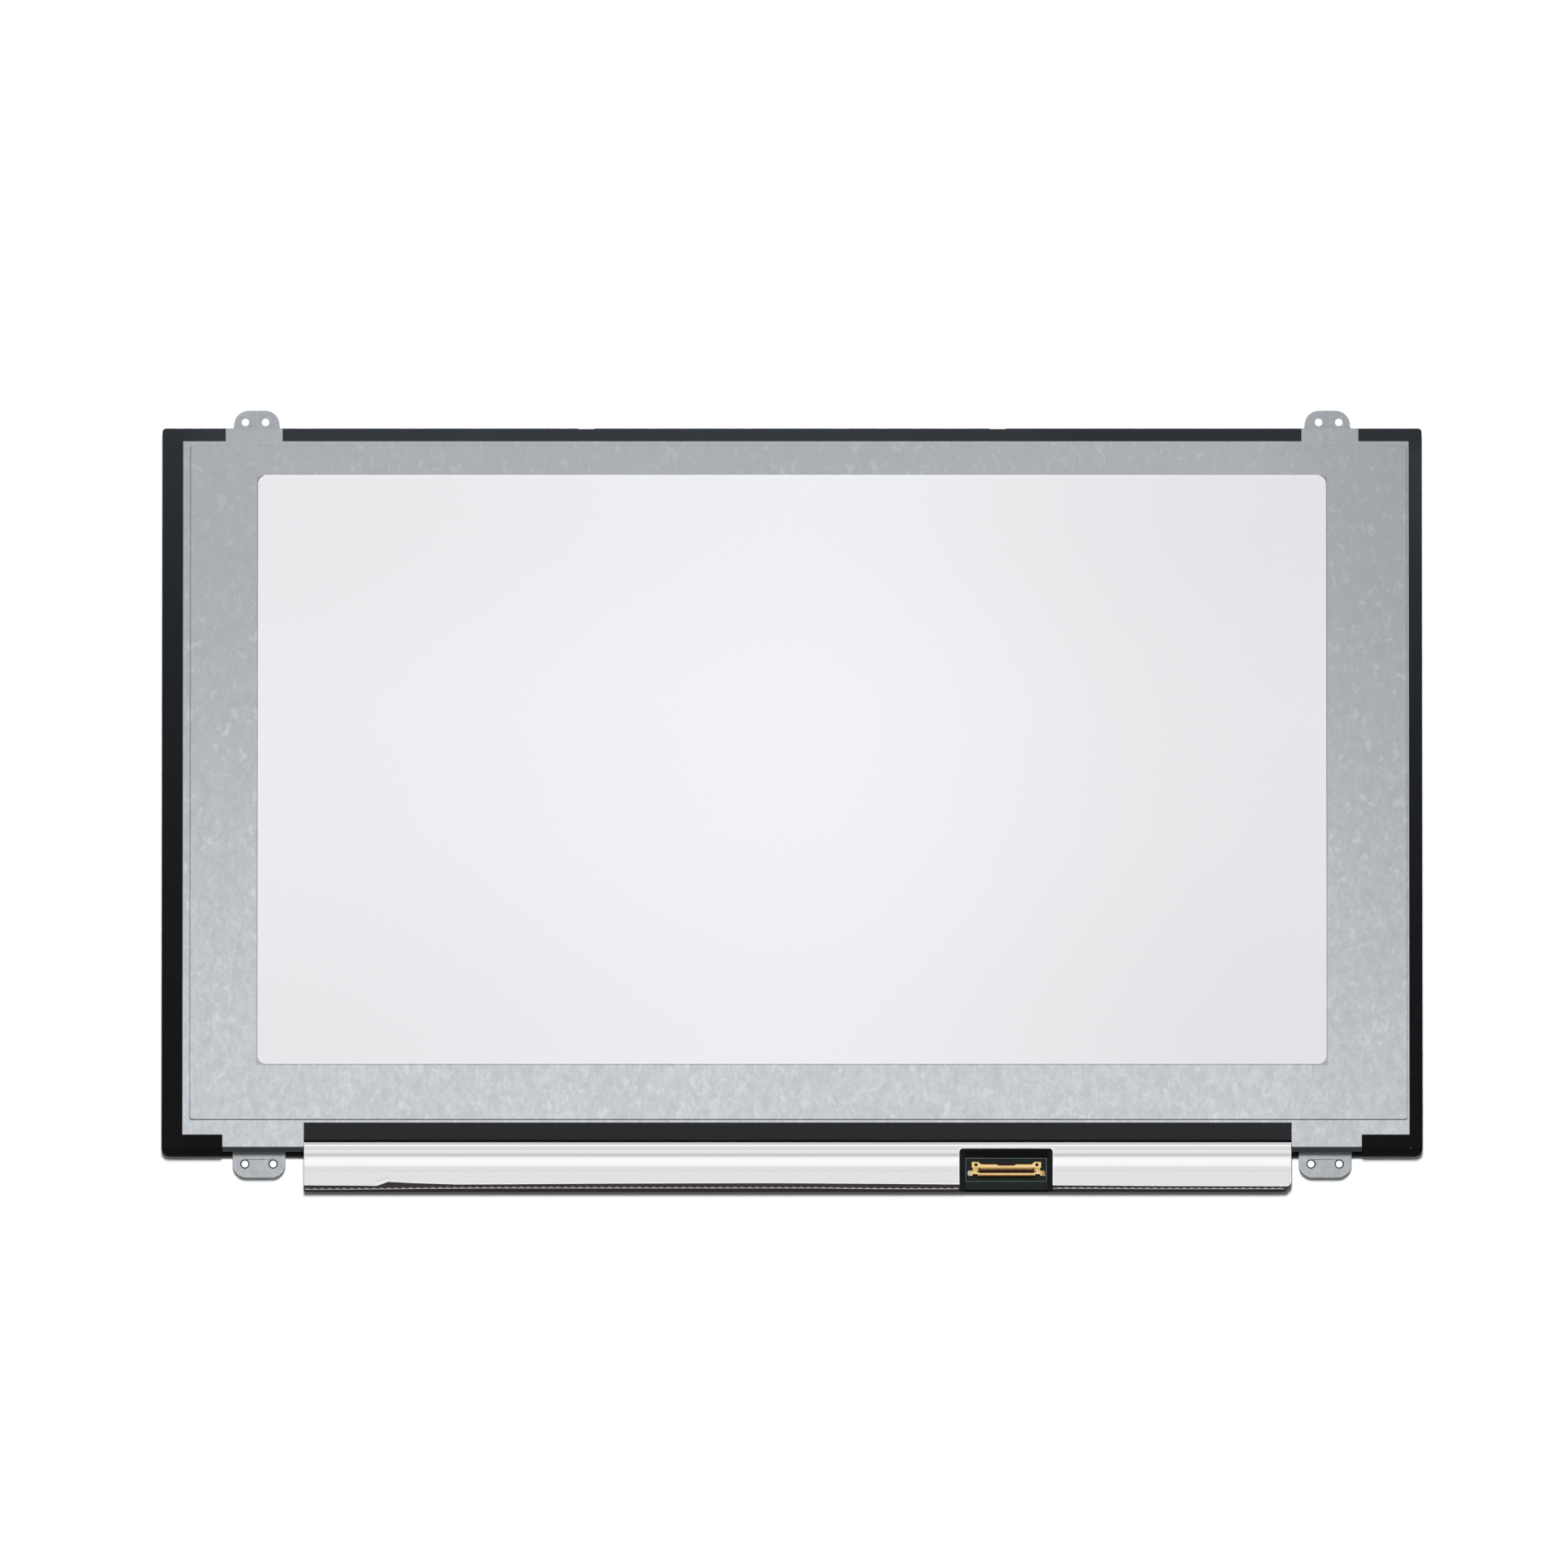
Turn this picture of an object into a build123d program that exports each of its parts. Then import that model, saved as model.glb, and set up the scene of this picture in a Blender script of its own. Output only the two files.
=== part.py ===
from build123d import *
import os
from math import atan2, tan
from typing import NamedTuple

os.makedirs("parts", exist_ok=True)

# A slim 15.6-inch laptop screen panel, in millimetres, lying face down.
# Z is zero on the viewing face and rises to the pressed steel plate on the rear.
# X runs to the right and Y to the top edge, as the panel is seen from behind.

# Screen
view_width = 345.8
view_height = 194.2

# Mould frame round the screen
left_rail = 6.75  # frame's left side to the backlight cavity
right_rail = 4.55
top_rail = 4.5
bottom_rail = 6.9
top_corner_radius = 1.1
bottom_corner_radius = 2.3

# What reaches past the frame
upper_tab_reach = 5.1  # upper tabs, past the frame's top edge
board_reach = 10.2  # wrapped board, past the frame's bottom edge

# Layers, from the viewing face to the rear
polariser_thickness = 0.15
glass_thickness = 0.5
rear_film_thickness = 0.1  # rear polariser, and the tape round it
shelf_thickness = 0.35
diffuser_thickness = 0.1
prism_thickness = 0.13
guide_thickness = 0.5
reflector_thickness = 0.14
plate_thickness = 0.3
emboss_height = 0.2

# Openings of the mould frame
shelf_side = 1.2
shelf_top = 0.9
lamp_bay = 2.0  # room for the lamps below the view
glass_margin = 2.4  # glass pocket past the view, at the sides and the top
glass_margin_bottom = 5.5
front_setback = 0.2  # the frame's front rim behind the viewing face
bevel_run = 2.4
bevel_drop = 0.8
gate_dip_width = 4.6
gate_dip_depth = 0.15
gate_dip_inset = 121.05  # frame's side to a dip's middle

# Sheets, glass and tape in those openings
sheet_clearance = 0.3
glass_clearance = 0.2
glass_ledge = 2.2  # array glass past the colour filter glass
front_film_margin = 0.5
rear_film_margin = 0.4
tape_margin = 0.7
guide_overlap = 0.7  # light guide and sheets, below the view

# Lamps
lamp_count = 42
lamp_length = 3.0
lamp_height = 0.6
lamp_depth = 0.85
lamp_gap = 0.1
lamp_window_depth = 0.2
lamp_wall = 0.12
flex_thickness = 0.12
flex_clearance = 0.1
tail_inset = 77.2  # film's left end to the tail's middle
tail_width = 8.0
tail_channel_clearance = 0.08

# Rear plate
plate_overlap = 0.8  # plate on the frame's rails
flange_left = 1.9  # flat flange round the raised centre
flange_right = 0.4
flange_upper = 1.0
flange_lower = 4.1
emboss_run = 0.4
emboss_radius = 1.0
border_left = 21.35  # plate edge to window
border_right = 23.55
border_upper = 9.45
border_lower = 20.25
window_radius = 2.5

# Upper screw tabs
upper_tab_inset = 26.95  # frame's side to a tab's middle
upper_tab_width = 13.0
upper_tab_radius = 4.2
upper_neck_inner = 0.9  # shoulders of the neck beside the tab
upper_neck_outer = 2.4
upper_root_radius = 0.5
upper_hole_spacing = 5.75
upper_hole_radius = 1.1
upper_hole_shift = 0.4
upper_hole_inset = 3.35

# Lower screw tabs
tongue_inset = 17.35  # frame's side to the tongue's outer end
tongue_reach = 3.65  # tongue past the plate's corner edge
lip_run = 1.1
bend_run = 2.5
bend_radii = (0.4, 1.6)  # bends at the tongue and at the tab
tab_drop = 1.4
lower_tab_inset = 27.8  # frame's side to a tab's middle
lower_tab_width = 15.05
lower_tab_reach = 6.05  # past the frame's bottom edge
lower_tab_radius = 3.95
lower_hole_spacing = 8.05
lower_hole_radius = 1.3
lower_hole_inset = 3.85
pocket_clearance = 0.2

# Wrap of film, foil and tape round the board
film_thickness = 0.1
foil_thickness = 0.08
tape_thickness = 0.08
film_inset_left = 40.55  # frame's side to the film's end
film_inset_right = 37.35
film_gap = 0.1
film_seam = 0.05  # butt seams of the film, at the sides of its notch
film_setback = 0.65  # film below the raised centre
black_band = 5.75  # film left bare above the foil
land_setback = 0.65  # plate edge under the film, above the tongues' edge
crease_gap = 0.6
wrap_radii = (0.6, 6.9, 6.0, 0.5, 0.3, 0.3)  # bends of the wrap, from the plate to the front
valley_inset = 1.07
valley_clearance = 0.8
crest_inset = 3.2
crest_rise = 1.55
shoulder_inset = 0.6
shoulder_rise = 1.01
side_rise = 0.3
front_leg_inset = 2.0
front_leg_overlap = 1.7
corner_cut = 2.0
notch_margin = 1.4  # foil notch past the film notch
notch_radius = 1.0
film_notch_clearance = 0.825  # film notch past the connector's legs
film_notch_top = 1.15  # film notch above the frame's bottom edge
foil_inset = 1.3  # foil and tape, above the wrap's shoulder
tape_inset = 0.2
tape_width = 0.6
foil_corner_cut = 1.0
nick_inset = 20.8  # foil's left end to the nick
nick_peak = 3.3
nick_length = 14.4
nick_depth = 0.85
tooth_pitch = 2.1
tooth_depth = 0.3

# Circuit board and what it carries
board_thickness = 0.8
board_gap = 0.2
board_room = 0.5
board_end_gap = 2.4
board_radius = 0.8
driver_film_thickness = 0.08
driver_film_width = 38.0
driver_film_count = 4
glass_bond = 1.5
board_bond = 1.5
driver_chip_length = 24.0
driver_chip_depth = 1.2
driver_chip_height = 0.25
relief_clearance = 0.15
parts_inset = 3.3  # middle of the chips and coils, below the board's top edge
controller_middle = 8.0  # from the frame's middle
controller_length = 8.0
controller_depth = 6.0
controller_height = 0.75
chip_chamfer = 0.15
lamp_driver_offset = 22.0  # left of the lamp strip's tail
lamp_driver_size = 4.0
lamp_driver_height = 0.7
inductor_size = 3.2
inductor_height = 0.85
inductor_radius = 0.6
inductor_offset_left = 14.0  # coils left and right of the lamp driver, and right of the connector
inductor_offset_right = 10.0
inductor_offset_far = 34.9
capacitor_length = 1.6
capacitor_depth = 0.8
capacitor_height = 0.7
capacitor_pitch = 3.4
capacitor_rows = 2
capacitor_row_pitch = 2.6
capacitor_run = 7  # capacitors in a row
capacitor_offset_tail = 26.0  # right of the lamp strip's tail
capacitor_offset_far = 52.9  # right of the connector
socket_length = 10.0
socket_depth = 2.4
socket_height = 0.75
socket_gap = 0.2
socket_mouth_gap = 0.05

# Display connector
connector_offset = 81.3  # film's right end to the connector's middle
connector_inset = 1.5  # shell below the board's top edge
connector_depth = 4.1
shell_thickness = 0.15
shell_height = 1.0
ear_width = 2.25
ear_depth = 1.6
ear_slant = 0.85  # run of an ear's slanted inner side
ear_hole = 0.65
foot_width = 1.8
foot_reach = 3.45  # feet below the shell's top edge
foot_hole_radius = 0.2
foot_hole_shift = 0.6
foot_hole_inset = 0.7
bar_inset = 0.7
bar_depth = 1.55
bar_recess_width = 4.6
bar_recess_depth = 0.35
bar_recess_slant = 0.4
lip_depth = 0.45  # lower strip of the bar, bent down
lip_drop = 0.25
lip_radius = 0.3
lip_notch = 0.25
lip_notch_pitch = 2.5
rail_depth = 0.95
rail_height = 0.75
rail_radius = 0.2
rail_lap = 0.35  # rail in front of the feet
leg_length = 1.1
leg_depth = 1.5
leg_drop = 0.45  # legs below the feet's ends
housing_floor = 0.2
housing_end_wall = 0.125
housing_gap = 0.05
contact_count = 30
contact_pitch = 0.5
contact_width = 0.25
contact_thickness = 0.12
contact_clearance = 0.02
tail_reach = 0.55


class Area(NamedTuple):
    """A rectangle in plan, given by its four sides."""

    left: float
    right: float
    bottom: float
    top: float

    def grown(self, by):
        """The same rectangle with every side moved out."""
        return Area(self.left - by, self.right + by, self.bottom - by, self.top + by)

    def middle(self):
        """The rectangle's middle point."""
        return ((self.left + self.right) / 2, (self.bottom + self.top) / 2)


def around(middle, width, bottom, top):
    """A rectangle of a given width about a place on X."""
    return Area(middle - width / 2, middle + width / 2, bottom, top)


def lay(area, radius=0.0):
    """Draws a rectangle, with round corners where a radius is given, in the sketch that is open."""
    with Locations(area.middle()):
        if radius:
            RectangleRounded(area.right - area.left, area.top - area.bottom, radius)
        else:
            Rectangle(area.right - area.left, area.top - area.bottom)


def block(area, low, high, mode=Mode.ADD):
    """Adds an upright block to the part that is open, or cuts it away."""
    with BuildSketch(Plane.XY.offset(low)) as plan:
        lay(area)
    extrude(plan.sketch, amount=high - low, mode=mode)


def flat_sheet(area, low, thickness):
    """A flat sheet."""
    with BuildPart() as sheet:
        block(area, low, low + thickness)
    return sheet


def bent_sheet(path, radii, thickness, side, left, right):
    """A sheet along a path in Y and Z, with a radius for each bend, running from left to right."""
    with BuildPart() as sheet:
        with BuildSketch(Plane.YZ.offset(left)):
            with BuildLine():
                if radii:
                    FilletPolyline(*path, radius=radii)
                else:
                    Polyline(*path)
                offset(amount=thickness, side=side, kind=Kind.INTERSECTION)
            make_face()
        extrude(amount=right - left)
    return sheet


def bend_shift(thickness, rise, run):
    """How far a bend's line on the sheet's lower face lies from its line on the upper face."""
    return thickness * tan(atan2(rise, run) / 2)


# Levels
filter_z = polariser_thickness
array_z = filter_z + glass_thickness
rear_film_z = array_z + glass_thickness
shelf_z = rear_film_z + rear_film_thickness
stack_z = shelf_z + shelf_thickness
upper_prism_z = stack_z + diffuser_thickness
lower_prism_z = upper_prism_z + prism_thickness
lower_diffuser_z = lower_prism_z + prism_thickness
guide_z = lower_diffuser_z + diffuser_thickness
reflector_z = guide_z + guide_thickness
flange_z = reflector_z + reflector_thickness
flange_top = flange_z + plate_thickness
plate_top = flange_top + emboss_height
tab_top = flange_top - tab_drop
tab_z = tab_top - plate_thickness
board_top = array_z + board_thickness
flex_z = flange_z - flex_thickness

# Places in plan
frame_width = left_rail + view_width + 2 * shelf_side + right_rail
frame_depth = top_rail + shelf_top + view_height + lamp_bay + bottom_rail
view_shift = (left_rail - right_rail) / 2
module_depth = upper_tab_reach + frame_depth + board_reach
frame_top = module_depth / 2 - upper_tab_reach
frame_bottom = frame_top - frame_depth
outline = around(0, frame_width, frame_bottom, frame_top)
cavity_top = frame_top - top_rail
view_top = cavity_top - shelf_top
view = around(view_shift, view_width, view_top - view_height, view_top)
cavity = Area(view.left - shelf_side, view.right + shelf_side, view.bottom - lamp_bay, cavity_top)
glass_pocket = view.grown(glass_margin)._replace(bottom=view.bottom - glass_margin_bottom)
array_area = glass_pocket.grown(-glass_clearance)
filter_area = array_area._replace(bottom=array_area.bottom + glass_ledge)
sheet_area = cavity.grown(-sheet_clearance)._replace(bottom=view.bottom - guide_overlap)
plate = cavity.grown(plate_overlap)
crease = Area(
    plate.left + flange_left,
    plate.right - flange_right,
    plate.bottom + flange_lower,
    plate.top - flange_upper,
)
window = Area(
    plate.left + border_left,
    plate.right - border_right,
    plate.bottom + border_lower,
    plate.top - border_upper,
)
upper_tab_middle = frame_width / 2 - upper_tab_inset
lower_tab_middle = frame_width / 2 - lower_tab_inset
tongue_end = frame_width / 2 - tongue_inset
film_left = frame_width / 2 - film_inset_left
film_right = frame_width / 2 - film_inset_right
connector_middle = film_right - connector_offset
tail_middle = tail_inset - film_left
bend_y = plate.bottom - tongue_reach
lower_bend_shift = bend_shift(plate_thickness, tab_drop, bend_run)
land_y = bend_y + land_setback
lower_tab_end = frame_bottom - lower_tab_reach

# Path of the wrap's outer face, from the plate over the board to the front
edge_y = -module_depth / 2
board = Area(
    board_end_gap - film_left,
    film_right - board_end_gap,
    edge_y + film_thickness + board_room,
    frame_bottom - board_gap,
)
front_leg_z = array_z - driver_film_thickness - film_thickness
wrap_path = [
    (crease.bottom - film_setback, flange_top + film_thickness),
    (land_y - crease_gap, flange_top + film_thickness),
    (frame_bottom + valley_inset, flange_z - bevel_drop + valley_clearance),
    (board.top - crest_inset, board_top + crest_rise),
    (edge_y + shoulder_inset, board_top + shoulder_rise),
    (edge_y, board_top + side_rise),
    (edge_y, front_leg_z),
    (array_area.bottom + front_leg_overlap, front_leg_z),
]
contact_span = contact_pitch * contact_count
shell_width = contact_span + 2 * (housing_end_wall + ear_width)
film_notch_width = shell_width + 2 * (leg_length + film_notch_clearance)
film_notch = around(connector_middle, film_notch_width, edge_y - board_room, frame_bottom + film_notch_top)
foil_notch = film_notch.grown(notch_margin)
foil_notch = foil_notch._replace(top=film_notch.top + notch_radius)

# Path of the lamp strip's tail, from the lamp bay down to its socket on the board
tail_run = wrap_path[1][0] - wrap_path[2][0]
tail_slope = (wrap_path[1][1] - wrap_path[2][1]) / tail_run
tail_bend = wrap_path[1][0]
tail_end = board.top - socket_gap


def tail_level(y):
    """Level of the tail's lower face on its slope."""
    return flex_z - (tail_bend - y) * tail_slope


# Mould frame: glass pocket in front, shelf, backlight cavity behind, bevel along the bottom
with BuildPart() as mould_frame:
    with BuildSketch(Plane.XY.offset(front_setback)) as frame_plan:
        lay(outline)
        fillet(frame_plan.vertices().group_by(Axis.Y)[0], bottom_corner_radius)
        fillet(frame_plan.vertices().group_by(Axis.Y)[-1], top_corner_radius)
        for side in (-1, 1):
            with Locations((side * (frame_width / 2 - gate_dip_inset), frame_top)):
                Rectangle(gate_dip_width, 2 * gate_dip_depth, mode=Mode.SUBTRACT)
    extrude(amount=flange_z - front_setback)
    with BuildSketch(Plane.YZ.offset(-frame_width / 2)):
        with BuildLine():
            Polyline(
                (frame_bottom, flange_z),
                (frame_bottom, flange_z - bevel_drop),
                (frame_bottom + bevel_run, flange_z),
                close=True,
            )
        make_face()
    extrude(amount=frame_width, mode=Mode.SUBTRACT)
    block(glass_pocket, front_setback, shelf_z, mode=Mode.SUBTRACT)
    block(view, shelf_z, stack_z, mode=Mode.SUBTRACT)
    block(cavity, stack_z, flange_z, mode=Mode.SUBTRACT)
    driver_relief = Area(
        front_leg_inset - film_left - sheet_clearance,
        film_right - front_leg_inset + sheet_clearance,
        frame_bottom,
        glass_pocket.bottom,
    )
    relief_top = array_z + driver_chip_height + relief_clearance
    block(driver_relief, front_setback, relief_top, mode=Mode.SUBTRACT)
    for inner_edge, outer_edge in ((-film_left, -tongue_end), (film_right, tongue_end)):
        bracket_pocket = Area(
            min(inner_edge, outer_edge) - pocket_clearance,
            max(inner_edge, outer_edge) + pocket_clearance,
            frame_bottom,
            bend_y + lower_bend_shift + pocket_clearance,
        )
        block(bracket_pocket, tab_z - pocket_clearance, flange_z, mode=Mode.SUBTRACT)
    channel_half = tail_width / 2 + pocket_clearance
    with BuildSketch(Plane.YZ.offset(tail_middle - channel_half)):
        with BuildLine():
            Polyline(
                (cavity.bottom, flange_z),
                (cavity.bottom, flex_z - tail_channel_clearance),
                (tail_bend, flex_z - tail_channel_clearance),
                (frame_bottom, tail_level(frame_bottom) - tail_channel_clearance),
                (frame_bottom, flange_z),
                close=True,
            )
        make_face()
    extrude(amount=2 * channel_half, mode=Mode.SUBTRACT)

# Glass cell and its films
front_polariser = flat_sheet(filter_area.grown(-front_film_margin), 0, polariser_thickness)
colour_filter_glass = flat_sheet(filter_area, filter_z, glass_thickness)
array_glass = flat_sheet(array_area, array_z, glass_thickness)
rear_polariser = flat_sheet(view.grown(rear_film_margin), rear_film_z, rear_film_thickness)
with BuildPart() as rim_tape:
    block(array_area, rear_film_z, shelf_z)
    block(view.grown(tape_margin), rear_film_z, shelf_z, mode=Mode.SUBTRACT)

# Backlight sheets
upper_diffuser = flat_sheet(sheet_area, stack_z, diffuser_thickness)
upper_prism_sheet = flat_sheet(sheet_area, upper_prism_z, prism_thickness)
lower_prism_sheet = flat_sheet(sheet_area, lower_prism_z, prism_thickness)
lower_diffuser = flat_sheet(sheet_area, lower_diffuser_z, diffuser_thickness)
light_guide = flat_sheet(sheet_area, guide_z, guide_thickness)
reflector_sheet = flat_sheet(sheet_area, reflector_z, reflector_thickness)

# Lamp strip: a flexible strip under the plate's lower flange, with a tail to the board
lamp_front = sheet_area.bottom - lamp_gap
flex_area = Area(sheet_area.left, sheet_area.right, cavity.bottom + flex_clearance, lamp_front)
with BuildPart() as led_flex:
    block(flex_area, flex_z, flange_z)
    with BuildSketch(Plane.YZ.offset(tail_middle - tail_width / 2)):
        with BuildLine():
            Polyline(
                (lamp_front, flex_z),
                (tail_bend, flex_z),
                (tail_end, tail_level(tail_end)),
            )
            offset(amount=flex_thickness, side=Side.RIGHT, kind=Kind.INTERSECTION)
        make_face()
    extrude(amount=tail_width)

# Lamps: white blocks with a sunk window that faces the light guide's edge
lamp_pitch = (sheet_area.right - sheet_area.left) / lamp_count
lamp_places = GridLocations(lamp_pitch, 1, lamp_count, 1).locations
with BuildPart() as leds:
    with Locations((view_shift, lamp_front - lamp_depth / 2, flex_z - lamp_height / 2)):
        with Locations(*lamp_places):
            Box(lamp_length, lamp_depth, lamp_height)
    with Locations((view_shift, lamp_front - lamp_window_depth / 2, flex_z - lamp_height / 2)):
        with Locations(*lamp_places):
            Box(
                lamp_length - 2 * lamp_wall,
                lamp_window_depth,
                lamp_height - 2 * lamp_wall,
                mode=Mode.SUBTRACT,
            )


def lower_bracket(inner_edge, outer_edge):
    """One end of the plate's lower flange: flat tongue, sloping lip and a lowered screw tab."""
    end = 1 if outer_edge > 0 else -1
    left = min(inner_edge + end * film_gap, outer_edge)
    right = max(inner_edge + end * film_gap, outer_edge)
    root = crease.bottom - film_setback
    with BuildPart() as bracket:
        joggle = [
            (root, flange_top),
            (bend_y, flange_top),
            (bend_y - bend_run, tab_top),
            (lower_tab_end, tab_top),
        ]
        add(bent_sheet(joggle, bend_radii, plate_thickness, Side.LEFT, left, right).part)
        with BuildSketch() as plan:
            lay(Area(left, right, bend_y - lip_run, root))
            lay(around(end * lower_tab_middle, lower_tab_width, lower_tab_end, bend_y))
            fillet(plan.vertices().group_by(Axis.Y)[0], lower_tab_radius)
            with Locations((end * lower_tab_middle, lower_tab_end + lower_hole_inset)):
                with GridLocations(lower_hole_spacing, 1, 2, 1):
                    Circle(lower_hole_radius, mode=Mode.SUBTRACT)
        extrude(amount=plate_top, mode=Mode.INTERSECT)
    return bracket.part


# Rear plate: pressed steel with a raised centre, a window, upper tabs and lowered tabs
with BuildPart() as rear_plate:
    with BuildSketch(Plane.XY.offset(flange_z)) as blank:
        lay(plate)
        lay(Area(-film_left - film_gap, film_right + film_gap, land_y, crease.bottom))
        for side in (-1, 1):
            inner = side * (upper_tab_middle - upper_tab_width / 2)
            outer = side * (upper_tab_middle + upper_tab_width / 2)
            neck_inner = inner - side * upper_neck_inner
            neck_outer = outer + side * upper_neck_outer
            lay(Area(min(neck_inner, neck_outer), max(neck_inner, neck_outer), crease.top, frame_top))
            lay(Area(min(inner, outer), max(inner, outer), cavity.top, module_depth / 2))
        fillet(blank.vertices().group_by(Axis.Y)[-1], upper_tab_radius)
        roots = blank.vertices().group_by(Axis.Y)[-3].sort_by(Axis.X)
        fillet(roots[1:3] + roots[5:7], upper_root_radius)
        for side in (-1, 1):
            holes_middle = side * (upper_tab_middle + upper_hole_shift)
            with Locations((holes_middle, module_depth / 2 - upper_hole_inset)):
                with GridLocations(upper_hole_spacing, 1, 2, 1):
                    Circle(upper_hole_radius, mode=Mode.SUBTRACT)
    extrude(amount=plate_thickness)
    add(lower_bracket(-film_left, -tongue_end))
    add(lower_bracket(film_right, tongue_end))
    with BuildSketch(Plane.XY.offset(flange_top)):
        lay(crease, emboss_radius)
    with BuildSketch(Plane.XY.offset(plate_top)):
        lay(crease.grown(-emboss_run), emboss_radius - emboss_run)
    loft()
    hollow_shift = bend_shift(plate_thickness, emboss_height, emboss_run)
    hollow = crease.grown(-hollow_shift)
    with BuildSketch(Plane.XY.offset(flange_z)):
        lay(hollow, emboss_radius)
    with BuildSketch(Plane.XY.offset(flange_z + emboss_height)):
        lay(hollow.grown(-emboss_run), emboss_radius - emboss_run)
    loft(mode=Mode.SUBTRACT)
    with BuildSketch(Plane.XY.offset(flange_z)):
        lay(window, window_radius)
    extrude(amount=plate_top - flange_z, mode=Mode.SUBTRACT)

# Circuit board
with BuildPart() as circuit_board:
    block(board, array_z, board_top)
    fillet(circuit_board.edges().filter_by(Axis.Z), board_radius)

# Driver films from the array glass to the board, each with its chip
film_bottom = board.top - board_bond
film_top = array_area.bottom + glass_bond
driver_film_pitch = (board.right - board.left) / driver_film_count
driver_places = [
    board.left + (index + 0.5) * driver_film_pitch
    for index in range(driver_film_count)
]
chip_middle_y = (array_area.bottom + board.top) / 2
with BuildPart() as driver_films:
    for place in driver_places:
        film_plan = around(place, driver_film_width, film_bottom, film_top)
        block(film_plan, array_z - driver_film_thickness, array_z)
with BuildPart() as driver_chips:
    for place in driver_places:
        with Locations((place, chip_middle_y, array_z + driver_chip_height / 2)):
            Box(driver_chip_length, driver_chip_depth, driver_chip_height)

# Parts on the board's rear side
parts_y = board.top - parts_inset
lamp_driver_middle = tail_middle - lamp_driver_offset
inductor_middles = (
    lamp_driver_middle - inductor_offset_left,
    lamp_driver_middle + inductor_offset_right,
    connector_middle + inductor_offset_far,
)
capacitor_middles = (tail_middle + capacitor_offset_tail, connector_middle + capacitor_offset_far)
with BuildPart() as timing_controller:
    with Locations((controller_middle, parts_y, board_top + controller_height / 2)):
        Box(controller_length, controller_depth, controller_height)
    chamfer(timing_controller.faces().sort_by(Axis.Z)[-1].edges(), chip_chamfer)
with BuildPart() as lamp_driver:
    with Locations((lamp_driver_middle, parts_y, board_top + lamp_driver_height / 2)):
        Box(lamp_driver_size, lamp_driver_size, lamp_driver_height)
    chamfer(lamp_driver.faces().sort_by(Axis.Z)[-1].edges(), chip_chamfer)
with BuildPart() as inductors:
    with BuildSketch(Plane.XY.offset(board_top)):
        with Locations(*[(place, parts_y) for place in inductor_middles]):
            RectangleRounded(inductor_size, inductor_size, inductor_radius)
    extrude(amount=inductor_height)
with BuildPart() as capacitors:
    for place in capacitor_middles:
        with Locations((place, parts_y, board_top + capacitor_height / 2)):
            with GridLocations(capacitor_pitch, capacitor_row_pitch, capacitor_run, capacitor_rows):
                Box(capacitor_length, capacitor_depth, capacitor_height)
with BuildPart() as lamp_socket:
    socket_top = tail_end - socket_mouth_gap
    socket_area = around(tail_middle, socket_length, socket_top - socket_depth, socket_top)
    block(socket_area, board_top, board_top + socket_height)
    chamfer(lamp_socket.faces().sort_by(Axis.Z)[-1].edges().sort_by(Axis.Y)[0], chip_chamfer)

# Display connector: places shared by its shell, housing and contacts
shell_top_y = board.top - connector_inset
shell_bottom_y = shell_top_y - connector_depth
foot_end_y = shell_top_y - foot_reach
shell_top = board_top + shell_height
shell_z = shell_top - shell_thickness
bar_half = shell_width / 2 - ear_width
bar_top_y = shell_top_y - bar_inset
bar_bottom_y = bar_top_y - bar_depth
lip_y = bar_bottom_y + lip_depth
rail_top_y = shell_bottom_y + rail_depth
contact_z = board_top + housing_floor

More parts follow.
